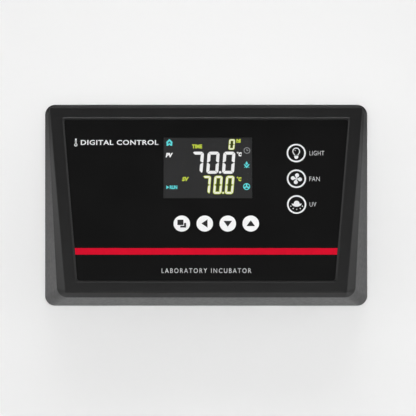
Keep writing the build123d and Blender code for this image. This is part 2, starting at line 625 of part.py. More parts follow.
def power_switch():
    """Flat power device with a metal tab and three legs, its tab against the heat sink."""
    x, z = HEAT_SINK
    x += SINK_BASE
    foot = PARTS_Y + DEVICE_LIFT
    tab = Pos(x + TAB_T / 2, foot + TAB_CENTRE, z) * Box(TAB_T, TAB_H, TAB_W)
    tab -= tab_hole(x + TAB_T / 2, z, 3 * TAB_T)
    body = Pos(x + DEVICE_T / 2, foot + DEVICE_CENTRE, z) * Box(DEVICE_T, DEVICE_H, DEVICE_W)
    for leg in (-1, 0, 1):
        leg_place = Pos(x + LEG_X, PARTS_Y + DEVICE_LIFT / 2, z + leg * LEG_PITCH)
        body += leg_place * Box(LEG_T, DEVICE_LIFT, LEG_W)
    return tab + body


def heat_sink_screw():
    """Screw that clamps the heater's power switch to the heat sink."""
    x, z = HEAT_SINK
    screw = pan_screw(M3_SHANK_R, M3_HEAD_R, M3_HEAD_T, TAB_SCREW_LENGTH)
    return Pos(x + SINK_BASE + TAB_T, PARTS_Y + DEVICE_LIFT + TAB_HOLE, z) * Rot(0, -90, 0) * screw


def along_fuse(x, radius, length):
    """Cylinder on the fuse's axis, centred on that X."""
    return Pos(x, PARTS_Y + FUSE_LIFT, FUSE[1]) * Rot(0, 90, 0) * Cylinder(radius, length)


def fuse_clip(side):
    """Spring clip that grips one end of the fuse: it is open at the top and hollow under the fuse."""
    x = FUSE[0] + side * (FUSE_LENGTH / 2 - CLIP_INSET)
    clip = Pos(x, PARTS_Y + CLIP_T / 2, FUSE[1]) * Box(CLIP_W, CLIP_T, 2 * (FUSE_R + CLIP_WALL))
    clip -= along_fuse(x, FUSE_R + CLIP_GAP, 2 * CLIP_W)
    for middle in (FUSE_LIFT + CLIP_MOUTH / 4, FUSE_LIFT - FUSE_R - CLIP_WALL):
        clip -= Pos(x, PARTS_Y + middle, FUSE[1]) * Box(2 * CLIP_W, CLIP_MOUTH, CLIP_MOUTH)
    return clip


def terminal_block():
    """Row of screw terminals: wire entries face down, screw wells face the rear."""
    x, z = TERMINAL
    body = on_relay_board(x, z, TERMINAL_WAYS * TERMINAL_PITCH, TERMINAL_H, TERMINAL_T)
    step = body.edges().filter_by(Axis.X).group_by(Axis.Y)[-1].sort_by(Axis.Z)[0]
    body = chamfer(step, TERMINAL_CHAMFER)
    entry = Box(ENTRY_W, ENTRY_T, 2 * ENTRY_DEPTH)
    well = Rot(90, 0, 0) * Cylinder(WELL_R, 2 * WELL_DEPTH)
    for way_x in terminal_ways():
        body -= Pos(way_x, PARTS_Y + ENTRY_LIFT, z - TERMINAL_H / 2) * entry
        body -= Pos(way_x, PARTS_Y + TERMINAL_T, z + WELL_OFFSET) * well
    return body


def terminal_ways():
    """X of each way of the terminal block."""
    middle = (TERMINAL_WAYS - 1) / 2
    return [TERMINAL[0] + (i - middle) * TERMINAL_PITCH for i in range(TERMINAL_WAYS)]


def terminal_screw(x):
    """Slotted clamp screw at the bottom of its well."""
    z = TERMINAL[1] + WELL_OFFSET
    start = PARTS_Y + TERMINAL_T - WELL_DEPTH
    screw = extrude(upright(start) * Pos(x, z) * Circle(CLAMP_R), amount=-CLAMP_T)
    return screw - Pos(x, start + CLAMP_T, z) * Box(3 * CLAMP_R, 2 * CLAMP_SLOT_DEPTH, CLAMP_SLOT_W)


def ribbon_cable():
    """Flat cable from the display board, up behind it, through the tray and down to the relay board."""
    from_board = behind(BOARD_FRONT + BOARD_T + RIBBON_PLANE)
    start = from_board.from_local_coords((TRAY_SLOT_X, RIBBON_V, 0))
    rise = (TRAY_SLOT_Z - start.Z) * FACE_SLOPE
    end_y = PARTS_Y + RIBBON_PLANE
    points = [
        (start.Y, start.Z),
        (start.Y + rise, TRAY_SLOT_Z),
        (end_y, TRAY_SLOT_Z),
        (end_y, RIBBON_Z),
    ]
    route = FilletPolyline(*[Plane.YZ.from_local_coords((y, z, 0)) for y, z in points], radius=RIBBON_BEND_R)
    across = Plane(origin=route @ 0, x_dir=(1, 0, 0), z_dir=route % 0)
    strip = sweep(across * Rectangle(RIBBON_W, RIBBON_T), path=route)
    return Pos(TRAY_SLOT_X, 0, 0) * strip


def ribbon_socket(plane, x, v):
    """Cable socket, plugged into its header, slotted for the cable that leaves it sideways."""
    seat = plane.offset(-HEADER_FLOOR - SOCKET_SEAT)
    body = extrude(seat * Pos(x, v) * Rectangle(SOCKET_W, SOCKET_H), amount=-SOCKET_T)
    slot = plane.offset(-RIBBON_PLANE + RIBBON_T / 2 + RIBBON_SLOT_GAP)
    mouth = Rectangle(RIBBON_W + 2 * RIBBON_SLOT_SIDE, 2 * SOCKET_H)
    return body - extrude(slot * Pos(x, v) * mouth, amount=-RIBBON_T - 2 * RIBBON_SLOT_GAP)


def ribbon_header(plane, x, v):
    """Open box header on a board."""
    outline = Rectangle(HEADER_W, HEADER_H)
    outline -= Rectangle(HEADER_W - 2 * HEADER_WALL, HEADER_H - 2 * HEADER_WALL)
    walls = extrude(plane * Pos(x, v) * outline, amount=-HEADER_T)
    return walls + extrude(plane * Pos(x, v) * Rectangle(HEADER_W, HEADER_H), amount=-HEADER_FLOOR)


def save_bezel_group():
    """The bezel, and what lies in its face."""
    save("bezel", bezel())
    save("bezel_gasket", gasket())
    save("bezel_screws", *bezel_screws())
    save("printed_film", film())
    save("display_window", display_window())
    for name, (x, v, radius) in KEYS.items():
        save(f"key_{name}", key(x, v, radius))
        save(f"plunger_{name}", switch_plunger(x, v))


def save_display_group():
    """The display board, and what is soldered or screwed to it."""
    save("display_cell", display_slab(CELL_W, CELL_H, CELL_FRONT, CELL_T))
    guide_w, guide_h = CELL_W - 2 * LIGHT_GUIDE_INSET, CELL_H - 2 * LIGHT_GUIDE_INSET
    save("display_light_guide", display_slab(guide_w, guide_h, CELL_FRONT + CELL_T, LIGHT_GUIDE_T))
    save("display_holder", display_holder())
    save("display_pins", *display_pins())
    save("display_board", display_board())
    save("display_board_screws", *board_screws())
    save("key_switches", *[switch_body(x, v) for x, v, _ in KEYS.values()])
    save("controller_chip", on_display_board(*CONTROLLER_CHIP))
    save("display_driver_chips", *[on_display_board(*chip) for chip in DRIVER_CHIPS])
    save("clock_crystal", on_display_board(*CLOCK_CRYSTAL))
    save("buzzer", disc(behind(BOARD_FRONT + BOARD_T), BUZZER_X, BUZZER_V, BUZZER_R, BUZZER_T))


def save_tray_group():
    """The tray, the relay board and its parts."""
    save("tray", tray())
    save("tray_nuts", *[hex_nut(x, z) for x, z in STUDS])
    save("tray_washers", *[washer(x, z) for x, z in STUDS])
    save("relay_board", relay_board())
    save("relay_board_spacers", *[relay_board_spacer(x, z) for x, z in RELAY_BOARD_FIXINGS])
    save("relay_board_screws", *relay_board_screws())
    relays = [on_relay_board(x, z, RELAY_W, RELAY_H, RELAY_T) for x, z in RELAYS]
    save("relays", *[softened(block, RELAY_EDGE_R) for block in relays])
    save("transformer_core", transformer_core())
    save("transformer_coil", transformer_coil())
    save("heat_sink", heat_sink())
    save("heater_power_switch", power_switch())
    save("heat_sink_screw", heat_sink_screw())
    save("fuse", along_fuse(FUSE[0], FUSE_R, FUSE_LENGTH))
    save("fuse_clips", fuse_clip(-1), fuse_clip(1))
    save("suppression_capacitor", softened(on_relay_board(*SUPPRESSION_CAPACITOR), CAPACITOR_EDGE_R))
    save("varistor", varistor())
    save("smoothing_capacitors", *[can(*size) for size in SMOOTHING_CAPACITORS])
    save("driver_chip", on_relay_board(*DRIVER_CHIP, start=DRIVER_CHIP_LIFT))
    save("terminal_block", terminal_block())
    save("terminal_screws", *[terminal_screw(way_x) for way_x in terminal_ways()])
    save("sensor_socket", on_relay_board(*SENSOR_SOCKET))


def save_ribbon_group():
    """The cable between the boards, with its headers and sockets."""
    ends = [(behind(BOARD_FRONT + BOARD_T), RIBBON_V), (upright(PARTS_Y), RIBBON_Z)]
    save("ribbon_cable", ribbon_cable())
    save("ribbon_headers", *[ribbon_header(plane, TRAY_SLOT_X, v) for plane, v in ends])
    save("ribbon_sockets", *[ribbon_socket(plane, TRAY_SLOT_X, v) for plane, v in ends])


def main():
    os.makedirs("parts", exist_ok=True)
    save("front_sheet", front_sheet())
    save("tray_studs", *[stud(x, z, STUD_LENGTH) for x, z in STUDS])
    save("earth_stud", stud(*EARTH_STUD, EARTH_STUD_LENGTH))
    save_bezel_group()
    save_display_group()
    save_tray_group()
    save_ribbon_group()


main()
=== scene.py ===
"""Looks of a laboratory incubator's control panel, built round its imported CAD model.

Blender works in metres, in the CAD frame: +Z up, +X to the user's right, and the panel faces -Y. The flat
pieces are drawn in millimetres on the leaning face (x to the right, y up the slope, z out of the face, with
z = 0 on the printed film) or on the rear side of the relay board, and then placed by a matrix.
"""

import json
import math
import random

import bmesh
import bpy
from mathutils import Matrix, Vector


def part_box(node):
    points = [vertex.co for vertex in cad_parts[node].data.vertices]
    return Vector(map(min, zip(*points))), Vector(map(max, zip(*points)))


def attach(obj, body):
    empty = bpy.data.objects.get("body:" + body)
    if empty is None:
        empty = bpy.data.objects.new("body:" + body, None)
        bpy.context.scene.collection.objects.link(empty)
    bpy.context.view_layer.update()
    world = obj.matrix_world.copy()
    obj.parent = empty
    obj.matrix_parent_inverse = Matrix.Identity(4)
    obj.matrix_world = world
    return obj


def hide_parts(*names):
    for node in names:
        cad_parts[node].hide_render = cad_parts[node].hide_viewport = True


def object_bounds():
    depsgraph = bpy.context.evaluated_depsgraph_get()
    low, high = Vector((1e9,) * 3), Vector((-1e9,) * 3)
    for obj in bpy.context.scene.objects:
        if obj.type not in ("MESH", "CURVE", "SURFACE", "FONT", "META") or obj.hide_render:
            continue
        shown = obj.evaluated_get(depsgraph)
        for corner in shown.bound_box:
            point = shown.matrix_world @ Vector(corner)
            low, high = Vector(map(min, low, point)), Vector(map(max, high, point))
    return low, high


MM = 0.001
TOUCHING, MERGED = 1e-6, 1e-4  # corners closer than this are one corner
PRINT_T = 0.02  # thickness of a print, in millimetres
ROUNDED, NODE_ROUNDED = 35.0, 30.0  # edges that turn by more degrees than this stay sharp
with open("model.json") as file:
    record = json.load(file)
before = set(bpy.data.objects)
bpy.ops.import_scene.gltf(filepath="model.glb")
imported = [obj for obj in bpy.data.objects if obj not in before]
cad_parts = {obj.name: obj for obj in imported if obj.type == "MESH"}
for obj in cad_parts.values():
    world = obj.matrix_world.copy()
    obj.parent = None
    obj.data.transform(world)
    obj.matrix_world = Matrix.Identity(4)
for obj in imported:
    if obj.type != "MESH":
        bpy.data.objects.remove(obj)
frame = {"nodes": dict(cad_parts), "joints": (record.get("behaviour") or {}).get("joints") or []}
nodes = frame["nodes"]
cad_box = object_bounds()
chance = random.Random(11)

# ------------------------------------------------------------------ places

FILM_TOP = 57.7  # height of the film's top edge above the face's origin, along the slope
FILM_HALF_TOP, FILM_HALF_BOTTOM = 92.5, 82.7
FILM_BOTTOM = -49.8
CELL_DEPTH = -0.62  # front of the display cell, behind the film's front
KEY_CENTRES = {
    name: sum(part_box("key_" + name), Vector()) / 2
    for name in ("menu", "left", "down", "up", "light", "fan", "uv")
}


def face_matrix():
    """Millimetres on the leaning face to the row frame."""
    out = -Vector(frame["joints"][0]["axis"]).normalized()
    right = Vector((1, 0, 0))
    up = out.cross(right)
    film = [v.co for v in nodes["printed_film"].data.vertices]
    front = max(out.dot(p) for p in film)
    top = max(up.dot(p) for p in film)
    origin = out * front + up * (top - FILM_TOP * MM)
    axes = Matrix((right, up, out)).transposed().to_4x4()
    return Matrix.Translation(origin) @ axes @ Matrix.Scale(MM, 4)


def board_matrix():
    """Millimetres on the relay board's rear side to the row frame: x is +X, y is +Z, z is out to the rear.

    Seen from behind, x runs to the left, so lettering on this board is turned round by its own matrix.
    """
    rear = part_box("relay_board")[1].y
    axes = Matrix(((1, 0, 0, 0), (0, 0, 1, rear / MM), (0, 1, 0, 0), (0, 0, 0, 1)))
    return Matrix.Scale(MM, 4) @ axes


FACE = face_matrix()
BOARD = board_matrix()


def on_face(point):
    """A point of the row frame in the face's own millimetres."""
    return FACE.inverted() @ point


def shift(x=0.0, y=0.0, z=0.0):
    return Matrix.Translation((x, y, z))


# ------------------------------------------------------------------ meshes


def mesh_of(data):
    """Mesh of a curve or text, with its coincident corners merged."""
    holder = bpy.data.objects.new("outline", data)
    bpy.context.scene.collection.objects.link(holder)
    evaluated = holder.evaluated_get(bpy.context.evaluated_depsgraph_get())
    mesh = bpy.data.meshes.new_from_object(evaluated)
    bpy.data.objects.remove(holder)
    bpy.data.curves.remove(data)
    welded = bmesh.new()
    welded.from_mesh(mesh)
    bmesh.ops.remove_doubles(welded, verts=welded.verts, dist=MERGED)
    welded.to_mesh(mesh)
    welded.free()
    return mesh


def add_line(curve, places):
    """Adds a line of straight stretches to a curve."""
    spline = curve.splines.new("POLY")
    spline.points.add(len(places) - 1)
    for point, place in zip(spline.points, places):
        point.co = (*place, 1)
    return spline


def plate(loops, thickness=PRINT_T):
    """Flat closed plate from closed outlines. An outline inside another is a hole."""
    curve = bpy.data.curves.new("outline", "CURVE")
    curve.dimensions = "2D"
    curve.fill_mode = "BOTH"
    curve.extrude = thickness / 2
    for loop in loops:
        add_line(curve, [(x, y, 0) for x, y in loop]).use_cyclic_u = True
    mesh = mesh_of(curve)
    mesh.transform(shift(z=thickness / 2))
    return mesh


def lettering(words, height, width=None, thickness=PRINT_T, spacing=1.0, slant=0.0, weight=0.0):
    """Words as a plate whose lower left corner is at the origin; height is that of a capital."""
    text = bpy.data.curves.new("words", "FONT")
    text.body = words
    text.space_character = spacing
    text.shear = slant
    text.offset = weight
    text.extrude = PRINT_T / 2
    text.resolution_u = 3
    mesh = mesh_of(text)
    low, high = (Vector([end(v.co[i] for v in mesh.vertices) for i in range(3)]) for end in (min, max))
    size = high - low
    scale_y = height / size.y
    scale_x = width / size.x if width else scale_y
    mesh.transform(Matrix.Diagonal((scale_x, scale_y, thickness / size.z, 1)) @ shift(*-low))
    return mesh


def arc(x, y, radius, start, end, steps=10):
    """Points along an arc, from start to end in degrees."""
    turns = [math.radians(start + (end - start) * i / steps) for i in range(steps + 1)]
    return [(x + radius * math.cos(t), y + radius * math.sin(t)) for t in turns]


def circle(x, y, radius, steps=48):
    return arc(x, y, radius, 0, 360, steps)[:-1]


def rectangle(x, y, width, height, radius=0.0):
    """Rectangle about its centre, with rounded corners if a radius is given."""
    w, h = width / 2 - radius, height / 2 - radius
    if not radius:
        return [(x - w, y - h), (x + w, y - h), (x + w, y + h), (x - w, y + h)]
    corners = ((w, h, 0), (-w, h, 90), (-w, -h, 180), (w, -h, 270))
    return [p for cx, cy, a in corners for p in arc(x + cx, y + cy, radius, a, a + 90, 5)]


def moved(loop, x, y, turn=0.0):
    """An outline turned about the origin by degrees, and then moved."""
    c, s = math.cos(math.radians(turn)), math.sin(math.radians(turn))
    return [(x + p * c - q * s, y + p * s + q * c) for p, q in loop]


def bevelled_box(width, depth, height, bevel=0.3, segments=2):
    """Box standing on z = 0 with rounded edges, centred on x and y."""
    shape = bmesh.new()
    bmesh.ops.create_cube(shape, size=1.0)
    bmesh.ops.scale(shape, vec=(width, depth, height), verts=shape.verts)
    bmesh.ops.translate(shape, vec=(0, 0, height / 2), verts=shape.verts)
    bmesh.ops.bevel(shape, geom=shape.edges[:], offset=bevel, segments=segments, profile=0.5, affect="EDGES")
    return finished(shape)


def turned(profile, steps=40):
    """Closed solid of revolution about z. The profile is (radius, z) from the axis round to the axis."""
    shape = bmesh.new()
    rings = []
    for radius, z in profile:
        if radius < TOUCHING:
            rings.append([shape.verts.new((0, 0, z))])
        else:
            rings.append([shape.verts.new((x, y, z)) for x, y in circle(0, 0, radius, steps)])
    for lower, upper in zip(rings, rings[1:]):
        for i in range(steps):
            j = (i + 1) % steps
            edges = ((lower, i), (lower, j), (upper, j), (upper, i))
            corners = list(dict.fromkeys(ring[k % len(ring)] for ring, k in edges))
            if len(corners) > 2:
                shape.faces.new(corners)
    return finished(shape)


def finished(shape):
    """Mesh of a bmesh, with its normals out."""
    bmesh.ops.recalc_face_normals(shape, faces=shape.faces)
    mesh = bpy.data.meshes.new("part")
    shape.to_mesh(mesh)
    shape.free()
    return mesh


def rod(points, radius, steps=10):
    """Round wire through the given points, its ends closed."""
    curve = bpy.data.curves.new("wire", "CURVE")
    curve.dimensions = "3D"
    curve.bevel_depth = radius
    curve.bevel_resolution = steps // 4
    curve.use_fill_caps = True
    add_line(curve, points)
    return mesh_of(curve)


def piece(name, parts, finish, place, body="panel", smooth=False):
    """One piece made of meshes or (mesh, matrix) pairs, placed in the row frame and riding on a body."""
    joined = bmesh.new()
    for part in parts:
        mesh, at = part if isinstance(part, tuple) else (part, shift())
        whole = place @ at
        mesh.transform(whole)
        if whole.determinant() < 0:
            mesh.flip_normals()
        joined.from_mesh(mesh)
        bpy.data.meshes.remove(mesh)
    mesh = bpy.data.meshes.new(name)
    joined.to_mesh(mesh)
    joined.free()
    made = bpy.data.objects.new(name, mesh)
    bpy.context.scene.collection.objects.link(made)
    made.data.materials.append(FINISHES[finish])
    if smooth:
        shade(made, ROUNDED)
    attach(made, body)
    return made


def shade(made, angle):
    """Smooth shading that keeps edges sharper than the angle, in degrees."""
    made.data.shade_smooth()
    made.data.set_sharp_from_angle(angle=math.radians(angle))


# ------------------------------------------------------------------ materials


def fill(node, **values):
    """Sets a node's inputs by name, with _ for a space."""
    for key, value in values.items():
        node.inputs[key.replace("_", " ")].default_value = value
    return node


class Finish:
    """A procedural material: a base surface, and then variation and relief added to it."""

    def __init__(self, name, colour, roughness=0.5, metallic=0.0, specular=0.5, **sockets):
        self.material = bpy.data.materials.new(name)
        self.material.use_nodes = True
        self.tree = self.material.node_tree
        self.surface = self.tree.nodes["Principled BSDF"]
        fill(self.surface, Base_Color=(*colour, 1), Roughness=roughness, Metallic=metallic)
        fill(self.surface, Specular_IOR_Level=specular, **sockets)
        self.colour = colour
        self.roughness = roughness
        self.place = self.tree.nodes.new("ShaderNodeTexCoord").outputs["Object"]
        self.normal = None

    def node(self, kind, **values):
        return fill(self.tree.nodes.new("ShaderNode" + kind), **values)

    def link(self, output, socket):
        self.tree.links.new(output, socket)

    def pattern(self, kind, output="Fac", along=None, **values):
        """Output of a texture node, on the object's own coordinates if no others are given."""
        made = self.node("Tex" + kind, **values)
        self.link(along or self.place, made.inputs["Vector"])
        return made.outputs[output]

    def noise(self, scale, detail=2.0, roughness=0.5, along=None):
        return self.pattern("Noise", along=along, Scale=scale, Detail=detail, Roughness=roughness)

    def ridges(self, scale, direction):
        """Even ridges one after another along X or Y."""
        waves = self.pattern("Wave", Scale=scale)
        waves.node.bands_direction = direction
        return waves

    def ranged(self, factor, low, high, start=0.3, end=0.7):
        """The factor's stretch from start to end, mapped to low to high."""
        made = self.node("MapRange", From_Min=start, From_Max=end, To_Min=low, To_Max=high)
        self.link(factor, made.inputs["Value"])
        return made.outputs["Result"]

    def blend(self, socket, one, other, factor):
        """Feeds a colour socket with a mix of two colours; a mix that is there already comes first."""
        target = self.surface.inputs[socket]
        mix = self.node("Mix")
        mix.data_type = "RGBA"
        amount, first, second = mix.inputs[0], mix.inputs[6], mix.inputs[7]
        first.default_value = (*one, 1)
        second.default_value = (*other, 1)
        if target.is_linked:
            self.link(target.links[0].from_socket, first)
        self.link(factor, amount)
        self.link(mix.outputs[2], target)

    def tint(self, factor, other, start=0.3, end=0.7):
        """Varies the colour towards another one where the factor is high."""
        self.blend("Base Color", self.colour, other, self.ranged(factor, 0, 1, start, end))

    def shine(self, one, other, scale):
        """Gives off an even light whose colour varies a little between two."""
        self.blend("Emission Color", one, other, self.ranged(self.noise(scale), 0, 1))
        fill(self.surface, Emission_Strength=1.0)

    def polish(self, factor, spread):
        """Varies the roughness by plus or minus spread."""
        low, high = self.roughness - spread, self.roughness + spread
        self.link(self.ranged(factor, low, high), self.surface.inputs["Roughness"])

    def relief(self, height, depth, strength=1.0):
        """Adds relief of that depth in metres."""
        bump = self.node("Bump", Strength=strength, Distance=depth)
        self.link(height, bump.inputs["Height"])
        if self.normal:
            self.link(self.normal, bump.inputs["Normal"])
        self.normal = bump.outputs["Normal"]
        self.link(self.normal, self.surface.inputs["Normal"])

    def soften(self, radius):
        """Rounds the look of sharp edges."""
        bevel = self.node("Bevel", Radius=radius)
        bevel.samples = 4
        self.normal = bevel.outputs["Normal"]
        self.link(self.normal, self.surface.inputs["Normal"])


def grey(value):
    return (value, value, value)


def darker(colour, share):
    return tuple(c * share for c in colour)


def powder_coat():
    """White powder coat: satin, with a fine orange peel."""
    finish = Finish("white_powder_coat", (0.80, 0.80, 0.80), 0.42, specular=0.45)
    finish.soften(0.0005)
    finish.tint(finish.noise(9, 3), (0.797, 0.797, 0.797))
    finish.polish(finish.noise(120), 0.01)
    finish.relief(finish.noise(420, 2, 0.6), 0.00006, 0.25)
    return finish.material


def grained_abs():
    """Dark moulded ABS with a fine spark-eroded grain."""
    finish = Finish("grained_abs", grey(0.0065), 0.33, specular=0.33)
    finish.soften(0.0009)
    finish.tint(finish.noise(30, 3), grey(0.0085))
    finish.polish(finish.noise(400), 0.04)
    finish.relief(finish.noise(2600, 2, 0.6), 0.00002, 0.4)
    return finish.material


def velvet_film():
    """Polyester film with a velvet front, printed black from behind."""
    finish = Finish("velvet_film", grey(0.0038), 0.34, specular=0.08)
    finish.tint(finish.noise(25), grey(0.0055))
    finish.polish(finish.noise(900), 0.04)
    finish.relief(finish.noise(5200), 0.00001, 0.4)
    return finish.material


def ink(name, colour, specular=0.25):
    """Screen-printed ink under the film's velvet front."""
    finish = Finish(name, colour, 0.5, specular=specular)
    finish.tint(finish.noise(180, 3), darker(colour, 0.93))
    finish.relief(finish.noise(5200), 0.00001, 0.4)
    return finish.material


def glow(name, colour):
    """Lit segment of the display: its light varies a little with the light guide behind it."""
    finish = Finish(name, grey(0.01), 0.5, specular=0.1)
    finish.shine(colour, darker(colour, 0.9), 140)
    return finish.material


def display_glass():
    """Dark display cell with a faint even emission: painted light that stands in for the light its dark face
    catches.
    """
    finish = Finish("display_glass", grey(0.012), 0.32, specular=0.3)
    finish.tint(finish.noise(60), grey(0.014))
    # painted light: a faint grey emission in place of the light the dark face catches
    finish.shine((0.0080, 0.0082, 0.0087), (0.0115, 0.0115, 0.0120), 38)
    return finish.material


def clear(name, colour, roughness, alpha, grain, spread):
    """Thin clear pane or tube, seen mostly by what it reflects."""
    finish = Finish(name, colour, roughness, Alpha=alpha)
    finish.polish(finish.noise(grain), spread)
    return finish.material


def metal(name, colour, roughness, grain=(1, 1, 1), scale=300.0, other=None, depth=0.00001):
    """Plain metal whose grain is drawn out by axis."""
    finish = Finish(name, colour, roughness, metallic=1.0)
    finish.soften(0.0002)
    drawn = finish.node("Mapping", Scale=grain)
    finish.link(finish.place, drawn.inputs["Vector"])
    along = drawn.outputs["Vector"]
    finish.tint(finish.noise(scale * 0.2, 3, along=along), other or darker(colour, 0.85))
    finish.polish(finish.noise(scale, along=along), 0.08)
    finish.relief(finish.noise(scale * 4, along=along), depth, 0.4)
    return finish.material


def galvanised():
    """Zinc sheet with its large frost-like spangles."""
    finish = Finish("galvanised_steel", (0.50, 0.52, 0.53), 0.42, metallic=1.0)
    finish.soften(0.0006)
    spangle = finish.pattern("Voronoi", "Color", Scale=130.0)
    finish.tint(spangle, (0.40, 0.42, 0.44), 0.1, 0.9)
    finish.polish(spangle, 0.1)
    finish.relief(finish.noise(700), 0.00001, 0.4)
    return finish.material


def moulded(name, colour, roughness=0.45, specular=0.5, grain=1800.0):
    """Moulded plastic with a fine texture and slight unevenness of colour."""
    finish = Finish(name, colour, roughness, specular=specular)
    finish.soften(0.00025)
    finish.tint(finish.noise(60, 3), darker(colour, 0.88))
    finish.polish(finish.noise(500), 0.06)
    finish.relief(finish.noise(grain), 0.00002, 0.35)
    return finish.material


def threaded(name, colour):
    """Plated metal with the fine ridges of a thread that runs along y, and painted shade in a band along
    each ridge.
    """
    finish = Finish(name, colour, 0.32, metallic=1.0)
    ridges = finish.ridges(449.0, "Y")
    # painted shade: the colour is darkened to 45 per cent in a band along each ridge of the thread
    finish.tint(ridges, darker(colour, 0.45), 0.2, 0.8)
    finish.relief(ridges, 0.0003, 0.7)
    return finish.material


def ribbon_pvc():
    """Grey flat cable: a ridge for each conductor along x, and the first one marked red."""
    finish = Finish("ribbon_pvc", (0.36, 0.37, 0.39), 0.4)
    ridges = finish.ridges(247.0, "X")
    finish.tint(ridges, (0.20, 0.205, 0.215), 0.0, 0.35)
    parts = finish.node("SeparateXYZ")
    finish.link(finish.place, parts.inputs["Vector"])
    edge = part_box("ribbon_cable")[1].x
    finish.tint(parts.outputs["X"], (0.50, 0.02, 0.02), edge - 0.0014, edge - 0.0012)
    finish.relief(ridges, 0.0004, 0.6)
    return finish.material


def solder_resist(name="solder_resist", colour=(0.012, 0.135, 0.045), other=(0.010, 0.115, 0.040)):
    """Green solder resist over glass cloth."""
    finish = Finish(name, colour, 0.28, specular=0.5)
    finish.tint(finish.noise(40, 3), other)
    finish.relief(finish.pattern("Checker", Scale=1600.0), 0.000004, 0.3)
    finish.relief(finish.noise(300), 0.00001, 0.3)
    return finish.material


LIT = {
    "lit_white": (1.0, 1.0, 1.0), "lit_pale": (1.0, 1.0, 0.86), "lit_lime": (0.60, 0.72, 0.06),
    "lit_haze": (0.035, 0.048, 0.001), "lit_cyan": (0.13, 0.80, 0.82), "lit_grey": (0.36, 0.37, 0.38),
}
FINISHES = {
    "front_sheet": powder_coat(),
    "abs": grained_abs(),
    "film": velvet_film(),
    "pane": clear("clear_pane", grey(0.02), 0.3, 0.06, 200, 0.04),
    "cell": display_glass(),
    "white_ink": ink("white_ink", (0.84, 0.85, 0.86)),
    "text_ink": ink("text_ink", (0.66, 0.67, 0.68)),
    "red_ink": ink("red_ink", (0.63, 0.001, 0.021), 0.07),
    "black_ink": ink("black_ink", grey(0.008)),
    **{name: glow(name, colour) for name, colour in LIT.items()},
    "zinc": metal("zinc_plate", (0.62, 0.63, 0.61), 0.3, other=(0.55, 0.57, 0.50)),
    "tin": metal("tin_plate", (0.68, 0.67, 0.64), 0.28),
    "galvanised": galvanised(),
    "laminations": metal("laminations", (0.09, 0.09, 0.095), 0.45, (1, 60, 1), 90.0, depth=0.00005),
    "anodised": metal("black_anodised", (0.03, 0.03, 0.034), 0.42, (1, 1, 0.05), 900.0),
    "foam": moulded("foam", grey(0.015), 0.9, 0.2, 900.0),
    "board": solder_resist(),
    "black_nylon": moulded("black_nylon", grey(0.018), 0.5),
    "epoxy": moulded("moulded_epoxy", grey(0.02), 0.6, 0.4),
    "nylon": moulded("natural_nylon", (0.74, 0.71, 0.62), 0.45),
    "blue_case": moulded("blue_case", (0.012, 0.085, 0.36), 0.4),
    "yellow_case": moulded("yellow_case", (0.76, 0.46, 0.03), 0.45),
    "varistor": moulded("dipped_epoxy", (0.02, 0.10, 0.34), 0.25, 0.6, 200.0),
    "sleeve": moulded("shrink_sleeve", (0.012, 0.018, 0.06), 0.3, 0.5, 150.0),
    "terminal": moulded("green_nylon", (0.02, 0.25, 0.07), 0.42),
    "tape": moulded("winding_tape", (0.72, 0.50, 0.05), 0.25, 0.6, 120.0),
    "ribbon": ribbon_pvc(),
    "milky": moulded("milky_acrylic", (0.75, 0.75, 0.73), 0.3),
    "key_white": ink("key_white", (0.93, 0.93, 0.93), 0.3),
    "acetal": moulded("white_acetal", (0.76, 0.75, 0.70), 0.35),
    "track": solder_resist("resist_over_copper", (0.022, 0.205, 0.072), (0.018, 0.175, 0.062)),
    "legend": ink("legend_ink", (0.66, 0.67, 0.66)),
    "chip_black": moulded("chip_black", grey(0.02), 0.35),
    "chip_tan": moulded("chip_tan", (0.30, 0.20, 0.11), 0.5),
    "chip_grey": moulded("stripe_grey", (0.42, 0.44, 0.47), 0.35),
    "glass": clear("tube_glass", (0.55, 0.60, 0.60), 0.08, 0.22, 300, 0.03),
    "weld": metal("weld_scorch", (0.40, 0.38, 0.36), 0.5, other=(0.22, 0.20, 0.19)),
    "thread_zinc": threaded("threaded_zinc", (0.62, 0.63, 0.61)),
    "thread_brass": threaded("threaded_brass", (0.70, 0.52, 0.24)),
}

NODES_BY_FINISH = {
    "front_sheet": "front_sheet",
    "abs": "bezel",
    "film": "printed_film key_light key_fan key_uv",
    "key_white": "key_menu key_left key_down key_up",
    "pane": "display_window",
    "cell": "display_cell",
    "milky": "display_light_guide",
    "board": "display_board relay_board",
    "galvanised": "tray",
    "thread_zinc": "tray_studs",
    "thread_brass": "earth_stud",
    "zinc": "tray_nuts tray_washers bezel_screws display_board_screws relay_board_screws heat_sink_screw"
    " terminal_screws",
    "tin": "display_pins fuse_clips clock_crystal fuse",
    "black_nylon": "display_holder key_switches buzzer ribbon_headers ribbon_sockets",
    "epoxy": "controller_chip display_driver_chips driver_chip heater_power_switch",
    "nylon": "relay_board_spacers sensor_socket",
    "foam": "bezel_gasket",
    "blue_case": "relays",
    "laminations": "transformer_core",
    "tape": "transformer_coil",
    "anodised": "heat_sink",
    "yellow_case": "suppression_capacitor",
    "varistor": "varistor",
    "sleeve": "smoothing_capacitors",
    "terminal": "terminal_block",
    "ribbon": "ribbon_cable",
    "acetal": "plunger_menu plunger_left plunger_down plunger_up plunger_light plunger_fan plunger_uv",
}


def finish_nodes():
    """Gives every CAD node its material."""
    for finish, names in NODES_BY_FINISH.items():
        for name in names.split():
            node = nodes[name]
            node.data.materials.clear()
            node.data.materials.append(FINISHES[finish])
            shade(node, NODE_ROUNDED)


def on_film(name, parts, finish, body="panel"):
    """A print on the film or on a key, in the face's millimetres."""
    piece(name, parts, finish, FACE, body)


def on_board(name, parts, finish, smooth=False):
    """A detail of the relay board, in the board's millimetres."""
    return piece(name, parts, finish, BOARD, smooth=smooth)


# ------------------------------------------------------------------ prints on the film

